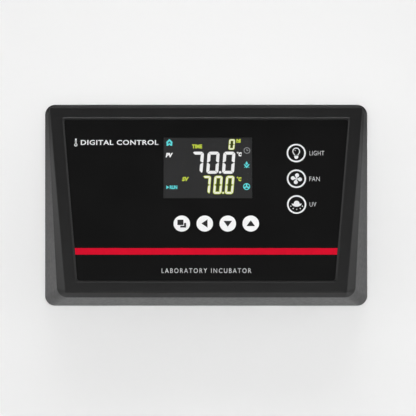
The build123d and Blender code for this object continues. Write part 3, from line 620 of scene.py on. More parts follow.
STRIPE_TOP, STRIPE_BOTTOM, STRIPE_INSET = -28.35, -32.75, 0.02
MARK_LEFT, MARK_WIDTH, MARK_BASE, MARK_CAP = -85.7, 50.5, 40.4, 4.1
MARK_GAP = 4.2  # from the mark's left edge to its words
# Words with their left end, width, base and height of capitals
TITLE = ("LABORATORY INCUBATOR", -28.6, 57.6, -44.9, 3.1)
LABELS = [("LIGHT", 67.1, 9.6, 33.75, 3.0), ("FAN", 66.9, 6.7, 16.35, 3.0), ("UV", 66.9, 4.3, -0.7, 2.9)]


def film_half_width(y):
    """Half width of the film at that height."""
    share = (y - FILM_BOTTOM) / (FILM_TOP - FILM_BOTTOM)
    return FILM_HALF_BOTTOM + share * (FILM_HALF_TOP - FILM_HALF_BOTTOM)


def stripe():
    wide, narrow = film_half_width(STRIPE_TOP) - STRIPE_INSET, film_half_width(STRIPE_BOTTOM) - STRIPE_INSET
    outline = [(-narrow, STRIPE_BOTTOM), (narrow, STRIPE_BOTTOM), (wide, STRIPE_TOP), (-wide, STRIPE_TOP)]
    on_film("film_stripe", [plate([outline])], "red_ink")


def captions():
    """Plain function words beside the keys, and the kind of apparatus under the stripe."""
    text, left, width, base, cap = TITLE
    parts = [(lettering(text, cap, width, spacing=1.35, weight=-0.004), shift(left, base))]
    for text, left, width, base, cap in LABELS:
        parts.append((lettering(text, cap, width, spacing=1.08, weight=-0.006), shift(left, base)))
    on_film("film_captions", parts, "text_ink")


def thermometer(x, y, height):
    """Outlines of a plain thermometer: a tube with its bulb."""
    bulb, tube = height * 0.19, height * 0.09
    join = math.degrees(math.asin(tube / bulb))
    top = y + height - tube
    body = arc(x, y + bulb, bulb, 90 + join, 450 - join, 28) + arc(x, top, tube, 0, 180, 8)
    inner, bore = bulb * 0.55, tube * 0.42
    open_join = math.degrees(math.asin(bore / inner))
    column = arc(x, y + bulb, inner, 90 + open_join, 450 - open_join, 20)
    column += arc(x, y + height * 0.74, bore, 0, 180, 6)
    return [body, column]


def plain_mark():
    """Generic mark in the upper left corner: a thermometer and two plain words."""
    words = lettering("DIGITAL CONTROL", MARK_CAP * 0.82, MARK_WIDTH, spacing=1.1, weight=0.018)
    parts = [(words, shift(MARK_LEFT + MARK_GAP, MARK_BASE + MARK_CAP * 0.09))]
    parts.append(plate(thermometer(MARK_LEFT + 1.0, MARK_BASE - 0.6, MARK_CAP * 1.3)))
    on_film("film_mark", parts, "white_ink")


# ------------------------------------------------------------------ keys


def bulb_icon():
    """Light bulb: an outlined globe on a filled base, with a highlight."""
    globe, neck, line = 2.5, 1.3, 0.62
    centre = 1.15
    outer = arc(0, centre, globe, -40, 220, 26) + [(-neck, -1.5), (neck, -1.5)]
    inner = arc(0, centre, globe - line, -36, 216, 22) + [(-neck + line, -1.4), (neck - line, -1.4)]
    base = arc(0, -2.7, neck, 180, 360, 10) + [(neck, -1.85), (-neck, -1.85)]
    shine = circle(-0.75, 1.75, 0.3, 12)
    return [outer, inner, base, shine]


def fan_icon():
    """Four round blades, each on a curved neck about the hub."""
    blade = arc(0.1, 2.35, 1.3, -60, 215, 20) + [(-0.35, 0.95), (-0.4, 0.45), (0.45, 0.4), (0.5, 0.9)]
    return [moved(blade, 0, 0, turn=-8 + 90 * i) for i in range(4)] + [circle(0, 0, 0.28, 12)]


def lamp_icon():
    """Lamp in its curved reflector, with its rays."""
    reflector = [(3.2 * x, 0.65 + 2.15 * y) for x, y in arc(0, 0, 1, -180, 0, 16)]
    lamp = [(1.8 * x, 0.75 + 1.75 * y) for x, y in arc(0, 0, 1, 0, 180, 16)]
    outline = reflector + [(2.1, 0.45)] + lamp + [(-2.1, 0.45)]
    rays = [(-3.75, -1.1), (3.75, -1.1), (-2.25, -2.7), (2.25, -2.7), (0, -3.3)]
    return [outline] + [circle(x, y, 0.36, 12) for x, y in rays]


def pages_icon():
    """One page in front of another, for the menu."""
    front = rectangle(-0.9, 0.75, 3.9, 3.6, 0.2)
    back = [(1.45, 0.35), (2.75, 0.35), (2.75, -2.7), (-1.0, -2.7), (-1.0, -1.55), (1.45, -1.55)]
    return [front, back]


def arrow_icon(turn):
    """Solid triangle; turn 0 points up."""
    return [moved([(-2.75, -1.75), (2.75, -1.75), (0, 2.1)], 0, 0, turn=turn)]


CONTROL_ICONS = {"menu": pages_icon(), "left": arrow_icon(90), "down": arrow_icon(180), "up": arrow_icon(0)}
FUNCTION_ICONS = {"light": bulb_icon(), "fan": fan_icon(), "uv": lamp_icon()}
RING_OUTER, RING_INNER = 6.2, 5.2
KEY_INK_LIFT = 0.003


def key_prints():
    """Symbol of each key, on the key itself, so that it travels with it."""
    for name, icon in {**CONTROL_ICONS, **FUNCTION_ICONS}.items():
        at = shift(on_face(KEY_CENTRES[name]).x, key_v(name), KEY_INK_LIFT)
        plates, finish = [(plate(icon), at)], "black_ink"
        if name in FUNCTION_ICONS:
            plates.append((plate([circle(0, 0, RING_OUTER, 72), circle(0, 0, RING_INNER, 72)]), at))
            finish = "white_ink"
        on_film(f"key_symbol_{name}", plates, finish, f"{name}_key")


def key_v(name):
    """Height on the slope of a key's centre, from its front rim."""
    points = [on_face(v.co) for v in nodes["key_" + name].data.vertices]
    front = max(p.z for p in points)
    rim = [p.y for p in points if p.z > front - 0.01]
    return (min(rim) + max(rim)) / 2


# ------------------------------------------------------------------ display


def digit_segments(segments, width, height, bar, gap=0.16):
    """Outlines of a seven-segment digit's lit segments, with its lower left corner at the origin."""
    corner, notch, slit = bar * 1.05, bar * 0.55, gap / 2
    right, high, middle = width - corner, height - corner, height / 2
    top = arc(right, high, corner, 90, 48, 5)
    top += [(width - bar - slit, height - bar), (bar + slit, height - bar)]
    top += arc(corner, high, corner, 132, 90, 5)
    side = arc(right, high, corner, 42, 0, 5)
    side += [(width, middle + gap * 1.6), (width - bar * 0.35, middle + gap)]
    side += [(width - bar, middle + notch), (width - bar, height - bar - slit)]
    left_side = [(width - x, y) for x, y in side]
    shapes = {"a": top, "b": side, "f": left_side}
    for lower, upper in zip("dce", "abf"):
        shapes[lower] = [(x, height - y) for x, y in shapes[upper]]
    return [shapes[s] for s in segments]


def slanted(loop, slant):
    return [(x + y * slant, y) for x, y in loop]


def grown(loop, amount):
    """An outline moved outwards by amount, corner by corner."""
    points = [Vector(p) for p in loop]
    following = points[1:] + points[:1]
    sign = 1 if sum(a.cross(b) for a, b in zip(points, following)) > 0 else -1
    result = []
    for before, here, after in zip(points[-1:] + points[:-1], points, following):
        first, second = here - before, after - here
        if min(first.length, second.length) < TOUCHING:
            continue
        outward = Vector((first.y, -first.x)).normalized() * sign
        bisector = (outward + Vector((second.y, -second.x)).normalized() * sign).normalized()
        reach = amount / max(bisector.dot(outward), 0.5)
        result.append(tuple(here + bisector * reach))
    return result


DIGITS = {"0": "abcdef", "7": "abc"}


def number(text, left, base, width, height, bar, pitch, slant):
    """Outlines of a number: digits, and a point between the last two if the text has one."""
    loops = []
    x = left
    for mark in text:
        if mark == ".":
            dot = circle(x - (pitch - width) / 2, bar * 0.5, bar * 0.42, 16)
            loops.append(moved(slanted(dot, slant), 0, base))
            continue
        for loop in digit_segments(DIGITS[mark], width, height, bar):
            loops.append(moved(slanted(loop, slant), x, base))
        x += pitch
    return loops


def house_icon():
    """House with a window under its roof and an open foot."""
    walls = [(-2.25, 0.1), (0, 2.35), (2.25, 0.1), (1.85, 0.1), (1.85, -2.2), (0.8, -2.2), (0.25, -1.5)]
    walls += [(-0.25, -1.5), (-0.8, -2.2), (-1.85, -2.2), (-1.85, 0.1)]
    window = [(-1.0, -0.35), (0, 0.85), (1.0, -0.35), (0.55, -0.9), (0, -0.25), (-0.55, -0.9)]
    return [walls, window]


def heat_icon():
    """Drop over a pointed tray, with two sparks."""
    drop = [(0, 2.4), (0.9, 0.75), (0, -0.2), (-0.9, 0.75)]
    tray = [(-1.95, 0.35), (-1.15, 0.35), (0, -0.85), (1.15, 0.35), (1.95, 0.35), (0.8, -1.35), (0, -2.3)]
    tray += [(-0.8, -1.35)]
    return [drop, tray, circle(-1.4, -1.75, 0.32, 10), circle(1.4, -1.75, 0.32, 10)]


def blower_icon():
    """Round wheel: a disc with three wedges cut from it."""
    wedge = arc(0, 0, 1.72, -38, 38, 8) + arc(0, 0, 0.62, 24, -24, 4)
    return [circle(0, 0, 2.25, 32)] + [moved(wedge, 0, 0, turn=30 + 120 * i) for i in range(3)]


def clock_icon():
    """Dial with its two hands."""
    hands = [(-0.22, 1.05), (-0.22, -0.25), (0.9, -0.25), (0.9, 0.15), (0.18, 0.15), (0.18, 1.05)]
    return [circle(0, 0, 2.1, 32), circle(0, 0, 1.7, 32), hands]


def minutes_mark(left, base):
    """Bold letter M for minutes."""
    half = [(0, 0), (0, 2.5), (0.75, 2.5), (1.35, 1.55), (1.35, 0.65), (0.6, 1.55), (0.6, 0)]
    return plate([half + [(2.7 - x, y) for x, y in reversed(half)][1:]]), shift(left, base)


def degree_mark(left, base, height):
    """The mark for degrees Celsius."""
    ring = height * 0.2
    letter = lettering("C", height * 0.95, height * 0.7, slant=0.12, weight=0.09)
    small = plate([circle(0, 0, ring, 16), circle(0, 0, ring * 0.3, 12)])
    return [(letter, shift(left + ring * 1.8, base)), (small, shift(left + ring, base + height * 0.84))]


def word(text, height, width, left, base, slant=0.0, weight=0.05):
    return lettering(text, height, width, slant=slant, weight=weight), shift(left, base)


def icon(loops, x, y):
    return plate(loops), shift(x, y)


# Numbers as left end, base, and a digit's width, height, bar, pitch and slant
ACTUAL = (-10.2, 21.5, 7.8, 14.9, 2.0, 10.2, 0.07)
TARGET = (-3.05, 8.0, 5.25, 12.0, 1.35, 7.57, 0.08)
HOURS = (14.5, 37.8, 3.75, 7.0, 0.95, 5.0, 0.08)
FRONT_LIFT, HAZE_LIFT = 0.025, -0.005
HAZE_T, HAZE_CORNER = 0.01, 1.0


def display():
    """What the display shows: set and actual temperature, running time and the state of the functions."""

    def lit(name, finish, parts, lift=0.0):
        raised = shift(z=CELL_DEPTH + lift)
        piece(name, parts, finish, FACE @ raised)

    def rimmed(name, loops, rim):
        lit(f"{name}_rim", "lit_lime", [plate([grown(loop, rim)]) for loop in loops])
        lit(name, "lit_pale", [plate([grown(loop, -0.08) for loop in loops])], FRONT_LIFT)

    lit("display_actual", "lit_white", [plate(number("70.0", *ACTUAL))])
    rimmed("display_target", number("70.0", *TARGET), 0.24)
    rimmed("display_time", number("0", *HOURS), 0.16)
    pitch = TARGET[5]
    haze = []
    for x, (_, y, width, height, _, _, slant) in (
        (TARGET[0] + pitch, TARGET), (TARGET[0] + 2 * pitch, TARGET), (HOURS[0], HOURS)
    ):
        cell = rectangle(width / 2, height / 2, width, height, HAZE_CORNER)
        haze.append(moved(slanted(cell, slant), x, y))
    lit("display_haze", "lit_haze", [plate(haze, HAZE_T)], HAZE_LIFT)

    words = [word("PV", 3.1, 4.7, -26.3, 32.5, 0.2, 0.06)] + degree_mark(19.9, 33.2, 3.0)
    lit("display_white_words", "lit_white", words)
    words = [word("TIME", 2.7, 6.6, -9.2, 38.6), minutes_mark(19.7, 42.5)]
    words += [word("SV", 2.9, 4.6, -15.7, 16.5, 0.2, 0.06)] + degree_mark(19.8, 16.5, 2.9)
    lit("display_lime_words", "lit_lime", words)
    words = [plate([[(-25.8, 11.15), (-23.9, 12.4), (-25.8, 13.65)]]), word("RUN", 2.5, 4.9, -23.6, 11.15)]
    words += [icon(house_icon(), -23.9, 42.6), icon(heat_icon(), 26.3, 27.55)]
    words.append(icon(blower_icon(), 26.2, 12.9))
    lit("display_cyan_words", "lit_cyan", words)
    lit("display_clock", "lit_grey", [icon(clock_icon(), 26.5, 37.2)])


# ------------------------------------------------------------------ relay board

# Places on the board as x, z, and heights above its rear side, all in millimetres
RELAYS = [(-46.0, -18.0), (-25.0, -18.0), (-4.0, -18.0)]
RELAY_SIZE = (15.5, 19.0, 15.5)
TERMINAL, TERMINAL_SIZE = (-22.0, -40.0), (50.8, 10.0)
TERMINAL_PITCH, TERMINAL_WAYS = 5.08, 10
TRANSFORMER, CORE_SIZE = (50.0, -14.0), (35.0, 29.5)
COIL_W, COIL_H, COIL_TOP = 22.6, 17.1, 20.0
FUSE, FUSE_HEIGHT, FUSE_LENGTH, FUSE_R, FUSE_CAP = (32.0, -40.0), 6.0, 20.0, 2.5, 5.2
DEVICE_X, DEVICE_Z, DEVICE_LEGS_X = -67.0, -10.0, -64.4
DRIVER, DRIVER_SIZE = (-14.0, 6.0), (19.3, 9.0)
SMALL_CHIP = (40.0, 27.5)
CANS = [(14.0, 12.0, 5.0, 17.0), (26.0, 10.0, 4.0, 12.0)]
FILM_CAPACITOR, FILM_CAPACITOR_SIZE = (50.0, 14.0), (18.0, 8.5, 15.0)
VARISTOR = (70.0, 10.0)
SENSOR_SOCKET, SENSOR_SIZE = (66.0, 27.0), (12.0, 6.0, 7.0)
RIBBON_SOCKET, RIBBON_SIZE = (-50.0, 24.0), (33.0, 9.0)
BOARD_FIXINGS = [(x, z) for x in (-79.0, 79.0) for z in (-42.0, 30.0)]
TRAY_STUD_X, TRAY_STUD_Z = 113.0, 38.0
PIN_PITCH = 2.54

# Thicknesses of what is laid on the board
TRACK_T, PLANE_T, RING_T, HOLE_RING_T, LEGEND_T, SKETCH_T = 0.035, 0.03, 0.04, 0.045, 0.05, 0.03

QUARTER = math.radians(90)
LYING = Matrix.Rotation(QUARTER, 4, "Y")  # turns the local z axis along x
STANDING = Matrix(((0, 0, 1, 0), (1, 0, 0, 0), (0, 1, 0, 0), (0, 0, 0, 1)))  # local x, y, z along z, out, x
SIDES = (-1, 1)


def turned_round(x, z, out=0.0):
    """Place for lettering that is read from behind; x is its left end as seen from there."""
    return shift(x, z, out) @ Matrix.Diagonal((-1, 1, 1, 1))


def track(points, width):
    """Outline of a strip through the points, mitred at its corners."""
    places = [Vector(p) for p in points]
    ways = [(b - a).normalized() for a, b in zip(places, places[1:])]
    left, right = [], []
    for i, here in enumerate(places):
        before, after = ways[max(i - 1, 0)], ways[min(i, len(ways) - 1)]
        middle = (before + after).normalized()
        across = Vector((-middle.y, middle.x))
        reach = width / 2 / across.dot(Vector((-before.y, before.x)))
        left.append(tuple(here + across * reach))
        right.append(tuple(here - across * reach))
    return left + right[::-1]


def dogleg(x0, z0, x1, z1, share=0.5):
    """Points from one place to another: along z, across at that share of the way, and along z again."""
    across, along = math.copysign(1, x1 - x0), math.copysign(1, z1 - z0)
    slant = min(abs(x1 - x0) * 0.45, 1.5)
    level = z0 + (z1 - z0) * share
    if slant < 0.05:
        return [(x0, z0), (x1, z1)]
    points = [(x0, z0), (x0, level - along * slant), (x0 + across * slant, level)]
    return points + [(x1 - across * slant, level), (x1, level + along * slant), (x1, z1)]


def terminal_ways():
    return [TERMINAL[0] + (i - (TERMINAL_WAYS - 1) / 2) * TERMINAL_PITCH for i in range(TERMINAL_WAYS)]


def board_tracks():
    """Copper under the solder resist: mains tracks, the driver chip's fine ones, and two wide areas."""
    ways = terminal_ways()
    x, z = DRIVER
    strips = []
    for i, (relay_x, relay_z) in enumerate(RELAYS):
        for side, way in zip(SIDES, ways[3 * i:]):
            strips.append((2.4, dogleg(relay_x + 4.0 * side, relay_z - 7, way, TERMINAL[1] + 3)))
        pin = x + (2 * i - 2.5) * PIN_PITCH
        strips.append((0.7, dogleg(pin, z - 3.8, relay_x + 2.5, relay_z + 8, 0.35 + 0.2 * i)))
    for i in range(8):
        start, end, level = x + (i - 3.5) * PIN_PITCH, RIBBON_SOCKET[0] - 8.9 + 1.9 * i, 11.6 + 0.95 * i
        bends = [(start, level - 1), (start - 1, level), (end + 1, level), (end, level + 1)]
        strips.append((0.45, [(start, 9.8), *bends, (end, 22)]))
    lower_leg = (DEVICE_LEGS_X, DEVICE_Z - PIN_PITCH)
    strips += [
        (2.4, [(ways[9], -37), (ways[9], -32), (22.5, -32), (24.6, -34.1), (24.6, -38)]),
        (2.4, dogleg(39.4, -38, 42.0, -20)),
        (2.0, [lower_leg, (-62, -15), (-62, -38), (-50, -46.3), (0, -46.3)]),
        (0.8, [(DEVICE_LEGS_X, DEVICE_Z), (-58.5, -10), (-57, -8.5), (-57, -4), (-28, -4)]),
        (0.5, [(63.5, 26), (63.5, 22.5), (61, 20), (44, 20), (42, 22), (42, 25.5)]),
        (0.5, [(66, 26), (66, 21.4), (63.4, 18.8), (62.5, 18.8), (38, 18.8), (38, 25.5)]),
        (0.5, [(37.5, 29.5), (32, 32.2), (-28, 32.2), (-31, 29.2), (-38, 29.2)]),
        (0.5, [(39.5, 30.5), (36.6, 33.4), (-29, 33.4), (-32, 30.4), (-38, 30.4)]),
        (1.4, [(11.5, 12), (6, 12), (3, 9), (3, 2), (8, -3), (14, -3)]),
        (1.4, [(16.5, 12), (22, 12), (24, 10), (29, 10), (33, 6), (33, -2)]),
    ]
    copper = [plate([track(points, width)], TRACK_T) for width, points in strips]
    lower = [(48, -46), (82, -34), (82, -18), (70, -18), (70, -31), (46, -31), (46, -46)]
    upper = [(-82, 14), (-70, 14), (-70, 34), (-74.5, 34), (-74.5, 26), (-82, 26)]
    copper += [plate([outline], PLANE_T) for outline in (lower, upper)]
    on_board("relay_board_tracks", copper, "track")


def frame_loops(x, z, width, height, line=0.2, gap=0.5):
    """Two outlines that draw a thin frame round a part."""
    w, h = width + 2 * gap, height + 2 * gap
    return [rectangle(x, z, w + 2 * line, h + 2 * line), rectangle(x, z, w, h)]


MARKS = [
    ("F1", 33.3, -35.6), ("T1", 51.5, 2.2), ("C1", 51.6, 19.6), ("C2", 8.3, 16.0), ("C3", 33.2, 13.5),
    ("V1", 75.6, 9.2), ("IC1", -1.5, 5.3), ("IC2", 46.6, 29.8), ("X1", -50.0, -40.8), ("X2", 76.2, 26.2),
    ("X3", -28.6, 24.0), ("Q1", -59.6, -1.8), ("D1", 30.6, -27.4), ("R9", -70.0, 30.5),
]
MARK_HEIGHT, NUMBER_HEIGHT, NUMBER_Z = 1.7, 1.5, -33.9


def board_legend():
    """White legend of the board: outlines of the parts, their short marks and the terminals' numbers."""
    places = [(*relay, *RELAY_SIZE[:2]) for relay in RELAYS]
    places += [(*TERMINAL, *TERMINAL_SIZE), (*TRANSFORMER, *CORE_SIZE), (*FUSE, 22.0, 6.6)]
    places += [(*DRIVER, *DRIVER_SIZE), (*FILM_CAPACITOR, *FILM_CAPACITOR_SIZE[:2]), (*VARISTOR, 4.0, 12.0)]
    places += [(*SENSOR_SOCKET, *SENSOR_SIZE[:2]), (*RIBBON_SOCKET, *RIBBON_SIZE), (-64.5, -10.0, 6.0, 12.0)]
    outlines = [frame_loops(*place) for place in places]
    outlines += [[circle(x, z, radius + 0.7), circle(x, z, radius + 0.5)] for x, z, radius, _ in CANS]
    parts = [plate(loops, LEGEND_T) for loops in outlines]
    words = [(f"K{i + 1}", x + 1.6, z + 11.0, MARK_HEIGHT) for i, (x, z) in enumerate(RELAYS)]
    words += [(*mark, MARK_HEIGHT) for mark in MARKS]
    ways = reversed(terminal_ways())
    words += [(str(i + 1), x + 0.5, NUMBER_Z, NUMBER_HEIGHT) for i, x in enumerate(ways)]
    for text, x, z, height in words:
        parts.append((lettering(text, height, thickness=LEGEND_T), turned_round(x, z)))
    on_board("relay_board_legend", parts, "legend")


def on_board_at(x, z, along_z):
    """Place on the board for a part that lies along x, or along z."""
    return shift(x, z) @ Matrix.Rotation(QUARTER * along_z, 4, "Z")


def solder_cone(radius, tip, shoulder, height, steps):
    """Fillet of solder round a lead."""
    return turned([(0, 0), (radius, 0), (tip, shoulder), (0, height)], steps)


CHIP, BIG_CHIP = (2.0, 1.25, 0.5), (2.2, 1.3, 0.9)


def small_part(x, z, along_z=False, size=CHIP):
    """Body and the two soldered ends of a small chip resistor or capacitor."""
    length, width, height = size
    at = on_board_at(x, z, along_z)
    body = [(bevelled_box(length - 0.7, width, height, 0.05, 1), at)]
    ends = []
    for reach, box in ((-0.2, (0.4, width + 0.02, height + 0.04)), (0.15, (0.7, width * 0.8, 0.14))):
        ends += [(bevelled_box(*box, 0.06, 1), at @ shift(side * (length / 2 + reach))) for side in SIDES]
    return body, ends


def pin_row(x, z, count, pitch, side, reach, height, width=0.5):
    """Row of bent pins of a chip, along x: out of its side, then down to the board."""
    parts = []
    for i in range(count):
        place = x + (i - (count - 1) / 2) * pitch
        foot = shift(place, z + side * reach)
        shoulder = bevelled_box(width * 2.2, reach, 0.25, 0.05, 1)
        parts.append((shoulder, shift(place, z + side * reach / 2, height)))
        parts.append((bevelled_box(width, 0.25, height + 0.2, 0.05, 1), foot))
        parts.append((solder_cone(width * 1.5, width * 0.8, 0.35, 0.6, 10), foot))
    return parts


def axial_part(x, z, length, radius, span, along_z=False, lift=0.4):
    """Round body lying on the board, its two bent leads and the ring round one end."""
    height, half, edge = radius + lift, length / 2, radius * 0.25
    at = on_board_at(x, z, along_z)
    profile = [(0, -half), (radius - edge, -half), (radius, edge - half)]
    profile += [(radius, half - edge), (radius - edge, half), (0, half)]
    body = [(turned(profile, 20), at @ shift(z=height) @ LYING)]
    foot, bend = span / 2, 0.5
    wire = [(-foot, 0, -0.6), (-foot, 0, height - bend), (bend - foot, 0, height)]
    leads = [(rod(wire + [(-x, y, z) for x, y, z in reversed(wire)], 0.3, 8), at)]
    leads += [(solder_cone(0.9, 0.4, 0.5, 0.7, 12), at @ shift(side * foot)) for side in SIDES]
    band = plate([circle(0, 0, radius + 0.03, 20), circle(0, 0, radius - 0.1, 20)], 0.9)
    return body, leads, [(band, at @ shift(x=-length * 0.33, z=height) @ LYING)]


RESISTORS = [(-24.0 + 4.2 * i, 25.5, True) for i in range(6)]
RESISTORS += [(48.5, 26.5), (48.5, 29.5), (32.0, 25.0), (32.0, 28.0), (54.0, 24.0), (54.0, 30.0)]
RESISTORS += [(-38.0, -4.0), (-17.0, -5.0), (4.0, -5.0), (8.0, -12.0), (8.0, -15.0)]
RESISTORS += [(-60.0, 6.0), (-60.0, 3.0), (74.0, -3.0)]
CERAMICS = [(-20.0 + 4.6 * i, 19.8, False) for i in range(5)]
CERAMICS += [(x, z, True) for x, z in ((57.0, 27.0), (26.0, 26.0), (-57.0, 8.5), (11.0, -20.0))]
DIODES = [(17.0 + 3.6 * i, -20.0, 5.2, 1.35, 10.2, True) for i in range(4)]
DIODES += [(x, -5.6, 3.8, 0.9, 7.6) for x, _ in RELAYS]


def board_small_parts():
    """Chip resistors and capacitors, diodes and pins of the relay board."""
    resistors, ceramics, solder, black, bands = [], [], [], [], []
    for bodies, made in (
        (resistors, [small_part(*place) for place in RESISTORS]),
        (ceramics, [small_part(*place, BIG_CHIP) for place in CERAMICS]),
    ):
        for body, ends in made:
            bodies += body
            solder += ends
    for place in DIODES:
        body, leads, ring = axial_part(*place)
        black += body
        solder += leads
        bands += ring
    for side in SIDES:
        solder += pin_row(*DRIVER, 8, PIN_PITCH, side, 3.8, 2.2)
        solder += pin_row(*SMALL_CHIP, 4, PIN_PITCH / 2, side, 2.9, 0.75, 0.32)
    black.append((bevelled_box(4.9, 3.9, 1.5, 0.2), shift(*SMALL_CHIP, 0.1)))
    dimple = turned([(0, 0), (1.1, 0), (1.1, 0.08), (0, 0.08)], 20)
    black.append((dimple, shift(DRIVER[0] + 7.6, DRIVER[1], 3.9)))
    on_board("relay_board_resistors", resistors, "chip_black")
    on_board("relay_board_ceramics", ceramics, "chip_tan")
    on_board("relay_board_diodes", black, "epoxy", smooth=True)
    on_board("relay_board_diode_bands", bands, "legend", smooth=True)
    on_board("relay_board_leads", solder, "tin", smooth=True)


def board_rings():
    """Tinned rings: plated holes along the tracks, and the earthed pads under the board's screws."""
    rings = [plate([circle(x, z, 3.6), circle(x, z, 1.5, 24)], RING_T) for x, z in BOARD_FIXINGS]
    spots = [(x + dx, z) for x, _ in RELAYS for dx, z in ((-6.3, -6.6), (6.3, -30.5))]
    for count, left, right, low, high in ((10, -30, 10, 22, 31), (5, 22, 56, 21, 24), (5, -66, -56, -4, 12)):
        spots += [(chance.uniform(left, right), chance.uniform(low, high)) for _ in range(count)]
    rings += [plate([circle(x, z, 0.5, 16), circle(x, z, 0.22, 12)], HOLE_RING_T) for x, z in spots]
    on_board("relay_board_pads", rings, "tin")


def relay_details():
    """Base plates, vent pips and the printed connection sketch of the relays."""
    width, height, top = RELAY_SIZE
    bases, pips, sketches = [], [], []
    for x, z in RELAYS:
        bases.append(plate([rectangle(x, z, width + 0.5, height + 0.5, 0.9)], 0.9))
        pips.append((turned([(0, 0), (0.8, 0), (0.6, 0.3), (0, 0.35)], 16), shift(x - 5.6, z + 7.3, top)))
        rim = [rectangle(x, z, 12.6, 16.0, 0.6), rectangle(x, z, 12.0, 15.4, 0.5)]
        pips.append((plate(rim, 0.12), shift(z=top)))
        coil = [rectangle(0, -3.6, 4.6, 2.4), rectangle(0, -3.6, 4.2, 2.0)]
        lines = [[(-4.2, -3.6), (-2.3, -3.6)], [(2.3, -3.6), (4.2, -3.6)], [(0, 5.4), (0, 3.6)]]
        lines += [[(0, 0.4), (1.6, 3.4)], [(0, -1.2), (0, 0.4)]]
        for loops in [coil] + [[track(line, 0.25)] for line in lines]:
            sketches.append((plate(loops, SKETCH_T), shift(x, z, top)))
    on_board("relay_bases", bases, "black_nylon")
    on_board("relay_vents", pips, "blue_case", smooth=True)
    on_board("relay_sketches", sketches, "legend")


def transformer_details():
    """Flanges of the coil former, and the end of the winding tape."""
    x, z = TRANSFORMER
    size = (COIL_W + 0.3, 0.8, COIL_TOP + 0.5)
    off = COIL_H / 2 - 0.4
    flanges = [(bevelled_box(*size, 0.15, 1), shift(x, z + side * off, 0.2)) for side in SIDES]
    on_board("transformer_flanges", flanges, "black_nylon")
    end = bevelled_box(COIL_W * 0.45, 11.0, 0.12, 0.05, 1)
    on_board("transformer_tape_end", [(end, shift(x - COIL_W * 0.2, z, COIL_TOP))], "tape")


def can_details():
    """Aluminium tops, dark strips of painted shade where their vent grooves are, and the light stripes on
    the sleeves of the capacitors.
    """
    tops, groove_shade_strips, stripes = [], [], []
    top_t = 0.06
    for x, z, radius, length in CANS:
        disc = [(0, 0), (radius - 1, 0), (radius - 1, top_t), (0, top_t)]
        tops.append((turned(disc), shift(x, z, length)))
        # painted shade: each vent groove is a thin flat strip of black metal in place of a real groove
        for turn in (20, 110):
            groove_shade_outline = moved(rectangle(0, 0, 1.5 * radius, 0.3), x, z, turn=turn)
            groove_shade_strips.append((plate([groove_shade_outline], 0.02 + turn * 0.0001), shift(z=length + top_t)))
        stripe_loop = arc(x, z, radius + 0.04, 200, 245, 12) + arc(x, z, radius - 0.1, 245, 200, 12)
        stripes.append((plate([stripe_loop], length - 1.8), shift(z=0.8)))
    on_board("capacitor_tops", tops, "tin", smooth=True)
    on_board("capacitor_vent_shade", groove_shade_strips, "anodised")
    on_board("capacitor_stripes", stripes, "chip_grey", smooth=True)


def mains_part_details():
    """Printed frame of the suppression capacitor, and the varistor's two legs."""
    x, z = FILM_CAPACITOR
    width, height, top = FILM_CAPACITOR_SIZE
    edges = ((2.4, 0.5), (2.9, 0.4))
    prints = [[rectangle(x, z, width - edge, height - edge, corner) for edge, corner in edges]]
    prints += [[rectangle(x + offset, z, 0.45, height - 4.4)] for offset in (-4.5, -3.4, 4.0)]
    inked = [(plate(loops, SKETCH_T), shift(z=top)) for loops in prints]
    on_board("suppression_capacitor_print", inked, "black_ink")
    x, z = VARISTOR
    legs = [rod([(x, z + side * 2.5, -0.6), (x, z + side * 2.5, 3.6)], 0.35, 8) for side in SIDES]
    on_board("varistor_legs", legs, "tin", smooth=True)


def power_device():
    """The heater's power device: a tinned tab and legs, and a moulded body."""
    tab = plate([rectangle(DEVICE_Z, 16.7, 10.0, 6.6, 0.6), circle(DEVICE_Z, 17.0, 1.7, 24)], 1.3)
    parts = [(tab, STANDING @ shift(z=DEVICE_X))]
    for side in (-1, 0, 1):
        z = DEVICE_Z + side * PIN_PITCH
        parts.append((bevelled_box(0.5, 1.3, 2.2, 0.08, 1), shift(DEVICE_LEGS_X, z, 2.8)))
        parts.append((bevelled_box(0.5, 0.8, 3.4, 0.08, 1), shift(DEVICE_LEGS_X, z, -0.4)))
        parts.append((solder_cone(1.0, 0.5, 0.5, 0.7, 14), shift(DEVICE_LEGS_X, z)))
    tinned = on_board("heater_device_tab", parts, "tin", smooth=True)
    body = bevelled_box(4.5, 10.2, 9.0, 0.35, 2)
    on_board("heater_device_body", [(body, shift(DEVICE_X + 2.25, DEVICE_Z, 4.7))], "epoxy")
    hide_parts("heater_power_switch")


def glass_fuse():
    """The fuse: end caps, a glass tube and the wire in it."""
    x, z = FUSE
    at = shift(x, z, FUSE_HEIGHT)
    profile = [(0, 0), (FUSE_R - 0.4, 0), (FUSE_R, 0.4), (FUSE_R, FUSE_CAP - 0.2), (FUSE_R - 0.2, FUSE_CAP)]
    caps = []
    for side in SIDES:
        inward = at @ shift(side * FUSE_LENGTH / 2) @ Matrix.Diagonal((-side, 1, 1, 1))
        caps.append((turned(profile + [(0, FUSE_CAP)], 28), inward @ LYING))
    ends = on_board("fuse_caps", caps, "tin", smooth=True)
    half = FUSE_LENGTH / 2 - FUSE_CAP + 0.6
    outer, inner = FUSE_R - 0.15, FUSE_R - 0.65
    tube = turned([(inner, -half), (outer, -half), (outer, half), (inner, half), (inner, -half)], 28)
    on_board("fuse_tube", [(tube, at @ LYING)], "glass", smooth=True)
    wire = rod([(x - half, z, FUSE_HEIGHT), (x + half, z, FUSE_HEIGHT)], 0.12, 8)
    on_board("fuse_wire", [wire], "tin", smooth=True)
    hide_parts("fuse")


